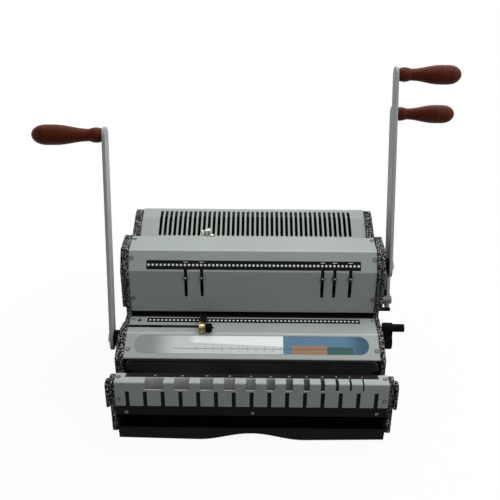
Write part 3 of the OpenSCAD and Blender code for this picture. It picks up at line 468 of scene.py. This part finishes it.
SHARP_EDGE = math.radians(25)
SAME_PLANE = math.radians(0.4)
SAME_POINT = 0.001 * MM
EDGES_MM = {
    "left_side_frame": 1.4, "right_side_frame": 1.4, "end_covers": 0.45, "closer_end_plates": 2.0,
    "upper_cover": 0.35, "lower_cover": 0.2, "slotted_plate": 0.3, "rear_panel": 0.4, "closer_channel": 0.4,
    "closer_jaw": 0.4, "closing_bar": 0.8, "front_tie_bar": 0.5, "base_rails": 0.5, "chip_tray": 0.4,
    "closer_lever": 0.9, "upper_lever": 0.9, "lower_lever": 0.9, "closer_hub": 0.8, "upper_hub": 0.8,
    "lower_hub": 0.8, "closer_bolts": 0.4, "upper_bolts": 0.4, "lower_bolts": 0.4, "size_knob": 0.5,
    "margin_knob": 0.7, "lock_screw": 0.5, "hub_cover": 0.5, "upper_guide": 0.25, "lower_guide": 0.4,
    "pull_bars": 0.25, "closer_bed": 0.3,
}


def ease_edges(node, width):
    """A copy of a solid, merged, with every edge sharper than 25 degrees rounded."""
    mesh = nodes[node].data.copy()
    body = bmesh.new()
    body.from_mesh(mesh)
    bmesh.ops.remove_doubles(body, verts=body.verts, dist=SAME_POINT)
    bmesh.ops.dissolve_limit(body, angle_limit=SAME_PLANE, verts=body.verts, edges=body.edges)
    body.to_mesh(mesh)
    body.free()
    mesh.polygons.foreach_set("use_smooth", np.full(len(mesh.polygons), True))
    piece = bpy.data.objects.new(node + "_eased", mesh)
    bpy.context.scene.collection.objects.link(piece)
    bevel = piece.modifiers.new("eased", "BEVEL")
    bevel.width = width * MM
    bevel.segments = 2
    bevel.limit_method = "ANGLE"
    bevel.angle_limit = SHARP_EDGE
    bevel.use_clamp_overlap = False
    piece.modifiers.new("flats", "WEIGHTED_NORMAL")
    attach(piece, body_of[node])
    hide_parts(node)


for node, width in EDGES_MM.items():
    ease_edges(node, width)


# Faces of the folded sheets, as a point, the way up the face and the way out of it in the side view

class Face:
    """A flat of a folded sheet in the side view, between two folds given as (y, z) in millimetres."""

    def __init__(self, low, high):
        self.low = np.array(low) * MM
        rise = np.array(high) * MM - self.low
        self.up = rise / np.linalg.norm(rise)
        self.out = np.array((-self.up[1], self.up[0]))

    def height(self, y):
        """Distance up the face at which it has this y."""
        return (y * MM - self.low[0]) / self.up[0]

    def place(self, x, s, lift=0.0):
        """The point at x, a distance s up the face and a lift out of it."""
        y, z = self.low + s * self.up + lift * self.out
        return np.array((x, y, z))

    def points(self, x, s, lift):
        """Arrays of such points."""
        y = self.low[0] + s * self.up[0] + lift * self.out[0]
        z = self.low[1] + s * self.up[1] + lift * self.out[1]
        return np.stack((x, y, z), axis=-1)

    def axis(self):
        """The way out of the face."""
        return np.array((0.0, *self.out))

    def scale_of(self, place):
        """In a material, the distance up the face."""
        return place.along(0.0, *self.up) - float(self.low @ self.up)


top_face = Face((-1, 229), (40, 235.5))
slant_face = Face((-17.5, 199.5), (-1, 229))
front_face = Face((-17.5, 127), (-17.5, 199.5))
table_face = Face((-66, 117), (-24, 121))
slope_face = Face((-103.5, 93.5), (-66, 117))
flange_face = Face((-176, 101.5), (-162.5, 101.5))
lip_face = Face((-162, 101.5), (-152.5, 101.5))
channel_face = Face((-176, 61), (-176, 101.5))
tie_face = Face((-174, 43.5), (-174, 61))
rear_face = Face((164.6, 235.3), (164.6, 14))


CORNER_POINTS = 9


def plate(face, x0, x1, s0, s1, corner, thick, edge):
    """A thin plate on a face: its rounded outline stands up, turns in over a small edge and closes."""
    quarter = np.linspace(0, np.pi / 2, CORNER_POINTS)
    angle = np.concatenate([quarter + k * np.pi / 2 for k in range(4)])
    right, top = np.cos(angle), np.sin(angle)
    mid_x, mid_s, half_x, half_s = (x0 + x1) / 2, (s0 + s1) / 2, (x1 - x0) / 2, (s1 - s0) / 2
    east = np.repeat((1, -1, -1, 1), CORNER_POINTS)
    north = np.repeat((1, 1, -1, -1), CORNER_POINTS)
    rows = ((0.0, 0.0), (0.0, thick - edge), (edge, thick))
    rings = [face.points(mid_x + east * (half_x - corner) + (corner - inset) * right,
                         mid_s + north * (half_s - corner) + (corner - inset) * top,
                         np.full(angle.size, lift)) for inset, lift in rows]
    return closed_rings(np.stack(rings))


# The rolled hem along the front edge of the lower cover's slope

HEM_HALF_X = 195.2 * MM
# The hem's outline in millimetres, as (distance up the slope, lift off it)
HEM_START = ((6.4, -0.5), (6.4, -0.03), (5.0, -0.01), (3.4, -0.01))
HEM_END = ((4.5, -3.1),)
HEM_NOSE = (1.9, -1.57)
HEM_NOSE_R = 1.55


def hem_line():
    """The hem's outline as (distance up the slope, lift off it).

    It leaves the slope where the sheet starts to bend, runs straight on, turns half round a nose and goes
    back under.
    """
    turn = np.radians(np.linspace(90, 270, 13))
    nose = np.array(HEM_NOSE) + HEM_NOSE_R * np.stack((np.cos(turn), np.sin(turn)), axis=-1)
    return np.concatenate((HEM_START, nose, HEM_END)) * MM


def put_hem(half_x):
    """The outline swept along X, with both ends closed."""
    s, lift = hem_line().T
    ends = np.array((-half_x, half_x))[:, None] + 0 * s
    rings = slope_face.points(ends, s[None, :] + 0 * ends, lift[None, :] + 0 * ends)
    put_piece("slope_hem", [closed_rings(rings)], BY_SLOT["grey_paint"], "frame", smooth=False)


put_hem(HEM_HALF_X)


# Screws in the covers, the channel, the tie bar and the rear panel

def cross_head(radius, height):
    """A domed head with a cross recess.

    Over (t, a) the height is a shallow dome 1 - 0.45 t^2, less a recess where the smaller of |x| and |y| is
    under about a sixth of the radius and the larger is under about two thirds. The second result is 1 where
    the head is painted black as painted shade: in the recess and round the rim.
    """
    sides = 40
    t = np.linspace(1, 0.04, 14)[:, None]
    a = np.linspace(0, 2 * np.pi, sides, endpoint=False)
    x, y = t * np.cos(a), t * np.sin(a)
    narrow, wide = np.minimum(abs(x), abs(y)), np.maximum(abs(x), abs(y))
    recess = np.clip((0.20 - narrow) / 0.06, 0, 1) * np.clip((0.70 - wide) / 0.12, 0, 1)
    z = height * (1 - 0.45 * t * t) - 1.1 * height * recess
    dome = np.stack((radius * x, radius * y, z), axis=-1)
    foot = dome[:1] * (1, 1, 0)
    # Painted shade: black in the recess and round the rim
    burn_and_shade = np.concatenate((np.ones(sides), np.clip(recess + (t > 0.74), 0, 1).ravel(), (1.0, 1.0)))
    return closed_rings(np.concatenate((foot, dome))), burn_and_shade


def screw_steel():
    """Plated screws, painted black in the recess and round the rim as painted shade."""
    material, place = new_finish("screw_steel")
    grime = place.noise(900.0, 3.0, 0.6)
    metal = grime.step(0.35, 0.7).mix(rgb(0.10, 0.10, 0.10), rgb(0.42, 0.42, 0.42))
    # Painted shade: the mesh's mask turns the recess and rim black
    burn_and_shade = place.make("Attribute", {"attribute_name": "burn_and_shade"}, out=2)
    colour = burn_and_shade.mix(metal, rgb(0.004, 0.004, 0.004))
    return coat(material, colour, 0.36 + 0.2 * grime, bump=grime, depth=0.03 * MM, metallic=1.0)


def both_ends(x):
    """Two places, as far to the left of the middle as to the right."""
    return (-x * MM, x * MM)


def screws_on(face, xs, s, radius=3.2, height=0.95):
    """Screws in a row at one height up a face."""
    head, _ = cross_head(radius * MM, height * MM)
    return [aimed(head, face.place(x, s, -0.02 * MM), face.axis()) for x in xs]


# How far the screws are from the middle, in millimetres
COVER_SCREW_X = 191.3
CHANNEL_SCREW_X = 190.8
SLOPE_SCREW_X = 190.5
REAR_SCREW_X = 187
# Places along the tie bar and down the rear panel
TIE_SCREW_X = np.array((-180.7, 1.7, 180.8)) * MM
REAR_SCREW_S = np.array((14, 110, 206)) * MM
FLUSH = {"radius": 2.5, "height": 0.14}
cover_screws = (screws_on(top_face, both_ends(COVER_SCREW_X), top_face.height(31))
                + screws_on(slant_face, both_ends(COVER_SCREW_X), slant_face.height(-7.6))
                + screws_on(front_face, both_ends(COVER_SCREW_X), 24.3 * MM)
                + screws_on(table_face, both_ends(CHANNEL_SCREW_X), table_face.height(-30), **FLUSH)
                + screws_on(slope_face, both_ends(SLOPE_SCREW_X), slope_face.height(-90))
                + screws_on(flange_face, both_ends(CHANNEL_SCREW_X), flange_face.height(-162.5))
                + screws_on(channel_face, both_ends(CHANNEL_SCREW_X), 11 * MM)
                + screws_on(tie_face, TIE_SCREW_X, 6.0 * MM))
for rear_s in REAR_SCREW_S:
    cover_screws += screws_on(rear_face, both_ends(REAR_SCREW_X), rear_s)
# Painted shade in each screw's recess and round its rim
recess_shade = np.tile(cross_head(1.0, 1.0)[1], len(cover_screws))
put_piece("cover_screws", cover_screws, screw_steel(), "frame", burn_and_shade=recess_shade)


# Printed strips

DOT_PITCH = 6.35 * MM
DOT_R = 1.88 * MM
STRIP_T = 0.25 * MM
STRIP_CORNER = 0.4 * MM
STRIP_EDGE = 0.08 * MM
# The white marks over the selectors: their rise over the dots, half their length and half their width
MARK_RISE = 4.6 * MM
MARK_HALF_L = 3.4 * MM
MARK_HALF_W = 0.45 * MM


def dot_print(name, face, first_x, mid_s, marks):
    """Black film with a white dot for each pin, and a short white mark over each pin that can be pulled.

    With t the distance from the first dot in pitches, a dot is where the hypotenuse of (t - round t) and the
    distance up the face from the row is under the dot's radius.
    """
    material, place = new_finish(name)
    x = place.axes()[0]
    t = (x - float(first_x)) / DOT_PITCH
    aside = (t - t.math("ROUND", t)) * DOT_PITCH
    rise = face.scale_of(place) - float(mid_s)
    square = aside * aside + rise * rise
    white = 1 - square.math("SQRT", square).step(DOT_R * 0.88, DOT_R * 1.08)
    if marks:
        near = nearest(x, SELECTOR_X)
        band = abs(rise - MARK_RISE)
        white = white.most((1 - near.above(MARK_HALF_L)) * (1 - band.above(MARK_HALF_W)))
    scuff = place.noise(300.0, 4.0, 0.6)
    ink = scuff.step(0.3, 0.8).mix(rgb(0.0020, 0.0020, 0.0025), rgb(0.006, 0.006, 0.0065))
    paper = scuff.mix(rgb(0.80, 0.83, 0.82), rgb(0.92, 0.95, 0.94))
    return coat(material, white.mix(ink, paper), 0.42 + 0.2 * scuff, bump=scuff, depth=0.01 * MM,
                specular_ior_level=0.08)


def strip_film(name, face, x0, x1, s0, s1, marks):
    """A strip of film with its row of dots along the middle."""
    mid_x = (x0 + x1) / 2 * MM
    mid_s = (s0 + s1) / 2
    count = math.floor((x1 - x0) * MM / DOT_PITCH)
    first_x = mid_x - (count - 1) / 2 * DOT_PITCH
    finish = dot_print(name + "_print", face, first_x, mid_s, marks)
    film = plate(face, x0 * MM, x1 * MM, s0, s1, STRIP_CORNER, STRIP_T, STRIP_EDGE)
    put_piece(name, [film], finish, "frame", smooth=False)


def arrow_mark(face, corners, thick):
    """A small flat triangle on a face, through three (x, y) corners."""
    x, y = np.array(corners).T
    s = face.height(y)
    rings = [face.points(x * MM, s, np.full(3, lift)) for lift in (0.0, thick)]
    return closed_rings(np.stack(rings))


ARROW = ((-183.0, -38.5), (-176.5, -34.0), (-181.3, -28.3))
arrow = arrow_mark(table_face, ARROW, 0.12 * MM)
put_piece("table_arrow", [arrow], satin_black("arrow_black", 0.003), "frame", smooth=False)
strip_film("upper_dot_strip", slant_face, -167.5, 170, slant_face.height(-16), slant_face.height(-8.9), True)
strip_film("lower_dot_strip", table_face, -168, 171.5, table_face.height(-38), table_face.height(-27), False)


# Size chart on the slope

CHART_X = np.array((-181.6, 179.7)) * MM
CHART_S = (slope_face.height(-95.5), slope_face.height(-69.5))
CHART_T = 0.3 * MM
# Where its fields start and end along X
PALE_FADE = (-0.160, -0.112)
WHITE_FADE = (-0.100, -0.085)
BLUE_FROM = 0.0478
DEEP_FADE = (0.140, 0.172)
ORANGE_X = (0.0610, 0.1150)
GREEN_X = (0.1150, 0.1545)
RULED_X = (-0.122, 0.1545)
TICKED_X = (-0.088, 0.1500)
TICK_FIRST = -0.0850
TICK_STEP = 0.0130
# How fast the white field's lower edge falls along X
WEDGE_FALL = 0.045
# Heights on it, as shares of its own height
RULED_AT = 0.27
TICK_TOP = 0.37
ORANGE_TOP = 0.47
GREEN_TOP = 0.40
WEDGE_TOP = 0.60


def chart_print():
    """A printed chart: grey at its left end, white in the middle, blue that deepens to its right.

    Two fields are set into the blue. A ruled line runs along its lower third, with ticks over it at even
    steps, and a thin dark line runs along its top.
    """
    material, place = new_finish("chart_print")
    x = place.axes()[0]
    s = slope_face.scale_of(place) - float(CHART_S[0])
    tall = float(CHART_S[1] - CHART_S[0])
    fibre = place.noise(240.0, 4.0, 0.6)
    grey = fibre.mix(rgb(0.265, 0.284, 0.280), rgb(0.300, 0.320, 0.316))
    white = fibre.mix(rgb(0.92, 0.98, 0.98), rgb(0.95, 1.00, 1.00))
    pale = fibre.mix(rgb(0.62, 0.65, 0.64), rgb(0.67, 0.70, 0.69))
    blue = fibre.mix(rgb(0.084, 0.192, 0.300), rgb(0.102, 0.222, 0.340))
    orange = fibre.mix(rgb(0.32, 0.174, 0.100), rgb(0.37, 0.204, 0.117))
    green = fibre.mix(rgb(0.018, 0.086, 0.080), rgb(0.026, 0.106, 0.100))
    ink = rgb(0.035, 0.040, 0.055)
    wedge = tall * WEDGE_TOP - (x - WHITE_FADE[1]) * WEDGE_FALL
    ground = x.step(*PALE_FADE).mix(grey, pale)
    ground = (x.step(*WHITE_FADE) * (s - wedge).above(0.0, 0.0004)).mix(ground, white)
    deep = fibre.mix(rgb(0.022, 0.078, 0.135), rgb(0.030, 0.092, 0.158))
    ground = x.above(BLUE_FROM).mix(ground, x.step(*DEEP_FADE).mix(blue, deep))
    low_field = 1 - s.above(tall * ORANGE_TOP, 0.0002)
    ground = (x.between(*ORANGE_X) * low_field).mix(ground, orange)
    lower_field = low_field * (1 - s.above(tall * GREEN_TOP, 0.0002))
    ground = (x.between(*GREEN_X) * lower_field).mix(ground, green)
    ruled = abs(s - tall * RULED_AT)
    line = x.between(*RULED_X) * (1 - ruled.above(0.00034, 0.0001))
    spans = (x - TICK_FIRST) / TICK_STEP
    tick_x = abs(spans - spans.math("ROUND", spans)) * TICK_STEP
    tick_s = s.between(tall * RULED_AT, tall * TICK_TOP)
    tick = x.between(*TICKED_X) * (1 - tick_x.above(0.00030, 0.0001)) * tick_s
    top_line = s.above(tall - 0.7 * MM, 0.0002)
    marked = (top_line * 0.65).most(line).most(tick).mix(ground, ink)
    return coat(material, marked, 0.36 + 0.14 * fibre, bump=fibre, depth=0.01 * MM, specular_ior_level=0.2)


chart_r = (CHART_S[1] - CHART_S[0]) * 0.49
chart = plate(slope_face, *CHART_X, *CHART_S, chart_r, CHART_T, 0.1 * MM)
put_piece("size_chart", [chart], chart_print(), "frame", smooth=False)


# Plain numbers

INK_T = 0.04 * MM


def number_shape(words, size, face, x, s, lift):
    """Figures made a thin closed mesh, then laid on a face with their middle at (x, s)."""
    letters = bpy.data.curves.new("figures", "FONT")
    letters.body = words
    letters.size = size
    letters.extrude = INK_T / 2
    letters.align_x, letters.align_y = "CENTER", "CENTER"
    holder = bpy.data.objects.new("figures", letters)
    bpy.context.scene.collection.objects.link(holder)
    flat = bpy.data.meshes.new_from_object(holder.evaluated_get(bpy.context.evaluated_depsgraph_get()))
    xyz = np.empty(len(flat.vertices) * 3)
    flat.vertices.foreach_get("co", xyz)
    xyz = xyz.reshape(-1, 3)
    faces = [np.array([poly.vertices[:]]) for poly in flat.polygons]
    bpy.data.objects.remove(holder)
    bpy.data.curves.remove(letters)
    bpy.data.meshes.remove(flat)
    return face.points(x + xyz[:, 0], s + xyz[:, 1], lift + INK_T / 2 + xyz[:, 2]), faces


def print_ink(name, dark, pale):
    """Screen-printed ink, a little uneven."""
    material, place = new_finish(name)
    wear = place.noise(700.0, 3.0, 0.6)
    return coat(material, wear.mix(rgb(*dark), rgb(*pale)), 0.5 + 0.2 * wear, specular_ior_level=0.1)


NOTCH_W = np.array((26.6, 21, 18.4, 15.6, 13.4, 12.2, 9.8, 8.2, 5.7, 4.1, 2.8, 2)) * MM
NOTCH_GAP = 15.6 * MM
NOTCH_X = -152 * MM + np.concatenate(([0], np.cumsum(NOTCH_W + NOTCH_GAP)[:-1])) + NOTCH_W / 2
FIGURES = ("32", "28", "25", "22", "19", "16", "14", "12", "10", "8", "6", "5")
white_ink = print_ink("white_ink", (0.55, 0.56, 0.56), (0.78, 0.79, 0.79))
dark_ink = print_ink("dark_ink", (0.020, 0.022, 0.030), (0.050, 0.053, 0.065))
lip_film = plate(lip_face, -180.5 * MM, 180.5 * MM, 0.2 * MM, 9.2 * MM, STRIP_CORNER, STRIP_T, STRIP_EDGE)
put_piece("number_strip", [lip_film], satin_black("film_black", 0.0045, 0.45), "jaw", smooth=False)
lip_numbers = [number_shape(word, 3.4 * MM, lip_face, x, 3.2 * MM, STRIP_T)
               for word, x in zip(FIGURES, NOTCH_X)]
put_piece("jaw_numbers", lip_numbers, white_ink, "jaw", smooth=False)
CHART_FIGURES = ("6", "8", "10", "12", "14", "16", "19", "22", "25")
CHART_FIGURE_X = np.arange(len(CHART_FIGURES)) * TICK_STEP - 0.072
chart_numbers = [number_shape(word, 3.0 * MM, slope_face, x, CHART_S[0] + 4.6 * MM, CHART_T)
                 for word, x in zip(CHART_FIGURES, CHART_FIGURE_X)]
put_piece("chart_numbers", chart_numbers, dark_ink, "frame", smooth=False)


# Turned wooden grips

def grip_shape(length, radius):
    """A turned grip along +Z with its burn mask.

    The radius is a bead of half a sine wave next to the lever, a swell 0.5 - 0.5 cos up to 0.68 of the
    length, a straight run, and a quarter ellipse over the last fifth, less two grooves with a bell-shaped
    section.
    """
    neck, bead, full, end = radius * 0.61, radius * 0.75, length * 0.68, length * 0.2
    bead_to, swell_from = 20 * MM, 20.5 * MM
    h = np.concatenate((np.linspace(0.02 * MM, bead_to, 22), np.linspace(20.6 * MM, length - end, 90)[:-1]))
    s = np.clip((h - swell_from) / (full - swell_from), 0, 1)
    r = np.where(h < bead_to, neck + (bead - neck) * np.sin(np.pi * np.clip(h / bead_to, 0, 1)),
                 neck + (radius - neck) * (0.5 - 0.5 * np.cos(np.pi * s)))
    a = np.linspace(0, np.pi / 2 * 0.985, 16)
    h = np.concatenate((h, length - end + end * np.sin(a)))
    r = np.concatenate((r, radius * np.cos(a)))
    grooves = sum(np.exp(-((h - f * length) / (0.75 * MM)) ** 2) for f in (0.654, 0.837))
    rim = np.exp(-(h / (1.3 * MM)) ** 2)
    sides = 72
    shape = turned(np.stack((r - 0.4 * MM * grooves, h), axis=-1), sides)
    burn_and_shade = np.concatenate((np.repeat(np.clip(0.8 * grooves + 0.8 * rim, 0, 1), sides), (0.8, 0.0)))
    return shape, burn_and_shade


def put_grip(node, length, radius, way):
    """A grip in the place of its solid: it starts at the solid's inner end, on the solid's own axis."""
    low, high = (np.array(corner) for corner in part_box(node))
    middle = (low + high) / 2
    start = high[0] if way < 0 else low[0]
    shape, burn_and_shade = grip_shape(length, radius)
    grip = aimed(shape, (start, middle[1], middle[2]), (way, 0, 0))
    put_piece(node + "_turned", [grip], BY_SLOT["wood"], body_of[node], stands_for=(node,), burn_and_shade=burn_and_shade)


GRIP_R = 15.2 * MM
CLOSER_GRIP_L = 106.5 * MM
PUNCH_GRIP_L = 100 * MM
put_grip("closer_grip", CLOSER_GRIP_L, GRIP_R, -1)
put_grip("upper_grip", PUNCH_GRIP_L, GRIP_R, 1)
put_grip("lower_grip", PUNCH_GRIP_L, GRIP_R, 1)


# Knurled clamp screws of the paper guides

KNURLS = 28


def knurled_screw(neck, head, head_from, head_to, tip, tip_to):
    """A neck, a knurled head whose radius swells and sinks as a cosine round it, and a stub on its end.

    It takes, in millimetres, the radii of the three, and the heights at which the head starts and ends and
    the stub ends.
    """
    rows = np.array(((neck, 0.02), (neck, head_from), (head * 0.86, head_from), (head, head_from + 0.7),
                     (head, head_to - 0.9), (head * 0.82, head_to - 0.1),
                     (tip, head_to - 0.05), (tip, tip_to)))
    knurl = np.array((0, 0, 0.02, 0.18, 0.18, 0.02, 0, 0))
    return turned(rows * MM, 6 * KNURLS, knurl * MM, KNURLS)


def put_guide_screw(node, screw, way, finish):
    """A knurled screw in the place of its solid, on the solid's own axis along X."""
    low, high = (np.array(corner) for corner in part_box(node))
    middle = (low + high) / 2
    start = low[0] if way > 0 else high[0]
    seated = aimed(screw, (start, middle[1], middle[2]), (way, 0, 0))
    put_piece(node + "_knurled", [seated], finish, body_of[node], stands_for=(node,))


upper_screw = knurled_screw(neck=2.5, head=4.3, head_from=1.5, head_to=6.9, tip=2.2, tip_to=6.98)
lower_screw = knurled_screw(neck=2.5, head=6.6, head_from=5.5, head_to=15.5, tip=1.5, tip_to=17.98)
put_guide_screw("upper_guide_screw", upper_screw, -1, nickel)
put_guide_screw("lower_guide_screw", lower_screw, 1, BY_SLOT["black_plastic"])


# Camera, at the photograph's viewing angle

CAMERA_AT = (0.0032, -0.9506, 0.6523)
# Pitch, yaw and roll in degrees
CAMERA_TURN = (23.97, 0.47, -0.28)
LENS = 47.52


def set_camera():
    """A camera turned by yaw, tilted down by pitch and rolled, from its own right, down and forward axes."""
    pitch, yaw, roll = np.radians(CAMERA_TURN)
    right = np.array((math.cos(yaw), math.sin(yaw), 0))
    ahead = np.array((-math.sin(yaw) * math.cos(pitch), math.cos(yaw) * math.cos(pitch), -math.sin(pitch)))
    down = np.cross(ahead, right)
    rolled_right = math.cos(roll) * right + math.sin(roll) * down
    rolled_down = math.cos(roll) * down - math.sin(roll) * right
    data = bpy.data.cameras.new("camera")
    data.sensor_width = 36.0
    data.lens = LENS
    data.clip_start, data.clip_end = 0.05, 50.0
    camera = bpy.data.objects.new("camera", data)
    turn = Matrix(np.column_stack((rolled_right, -rolled_down, -ahead)).tolist()).to_4x4()
    camera.matrix_world = Matrix.Translation(CAMERA_AT) @ turn
    bpy.context.scene.collection.objects.link(camera)
    bpy.context.scene.camera = camera


# Stage and light

def seen_directly(tree):
    """1 for camera, glossy and transmission rays, which see the white background."""
    path = tree.make("LightPath")
    outputs = path.socket.node.outputs
    camera, glossy, through = [Wire(tree.tree, outputs[name])
                               for name in ("Is Camera Ray", "Is Glossy Ray", "Is Transmission Ray")]
    return camera.most(glossy).most(through)


# The floor's strip under the object, painted dark as painted shade, and half the floor's width
UNDER_HALF_X = 0.196
UNDER_Y = (0.105, 0.163)
FLOOR_HALF = 6.0


def white_floor():
    """A pale floor: white to the eye with a faint shadow round the object, and grey to light that bounces.

    Behind the tray, under the object, it has no white of its own and is painted a dark grey, as painted
    shade, so that it stays dark there.
    """
    material, place = new_finish("floor")
    seen = seen_directly(place)
    x, y, _ = place.axes()
    far = (x * x + y * y).step(0.16, 0.40)
    # Painted shade: under the object, behind the tray, the floor is dark grey to the camera
    under = (1 - abs(x).above(UNDER_HALF_X)) * y.between(*UNDER_Y)
    white = seen * (1 - under)
    tone = white.mix(rgb(0.18, 0.18, 0.18), rgb(0.9, 0.9, 0.9))
    paper = place.make("BsdfDiffuse", {}, {"Color": tone})
    glow = place.make("Emission", {}, {"Color": rgb(1, 1, 1), "Strength": 1.0})
    surface = place.make("MixShader", {}, {0: white * (0.94 + 0.06 * far), 1: paper, 2: glow})
    place.make("OutputMaterial", {}, {"Surface": surface})
    half = FLOOR_HALF
    corners = [(-half, -half, 0), (half, -half, 0), (half, half, 0), (-half, half, 0)]
    mesh = bpy.data.meshes.new("floor")
    mesh.from_pydata(corners, [], [(0, 1, 2, 3)])
    mesh.materials.append(material)
    floor = bpy.data.objects.new("floor", mesh)
    bpy.context.scene.collection.objects.link(floor)


def set_world():
    """A dim even sky that rays from the camera and from gloss see as white."""
    world = bpy.data.worlds.new("studio")
    world.use_nodes = True
    world.node_tree.nodes.clear()
    tree = Wire(world.node_tree)
    strength = 0.12 + 0.88 * seen_directly(tree)
    sky = tree.make("Background", {}, {"Color": rgb(1, 1, 1), "Strength": strength})
    tree.make("OutputWorld", {}, {"Surface": sky})
    bpy.context.scene.world = world


def soft_box(name, place, aim, size, watts):
    """A square lamp at a place, facing another place."""
    data = bpy.data.lights.new(name, "AREA")
    data.size = size
    data.energy = watts
    lamp = bpy.data.objects.new(name, data)
    towards = Vector(aim) - Vector(place)
    lamp.location = place
    lamp.rotation_mode = "QUATERNION"
    lamp.rotation_quaternion = towards.to_track_quat("-Z", "Y")
    bpy.context.scene.collection.objects.link(lamp)


set_camera()
white_floor()
set_world()
soft_box("overhead", place=(0.55, 0.36, 2.0), aim=(0.05, 0.05, 0.15), size=3.0, watts=61.5)
soft_box("side", place=(1.2, -0.7, 0.7), aim=(0.05, -0.1, 0.15), size=0.8, watts=3.3)

bpy.context.scene.view_settings.view_transform = "Standard"
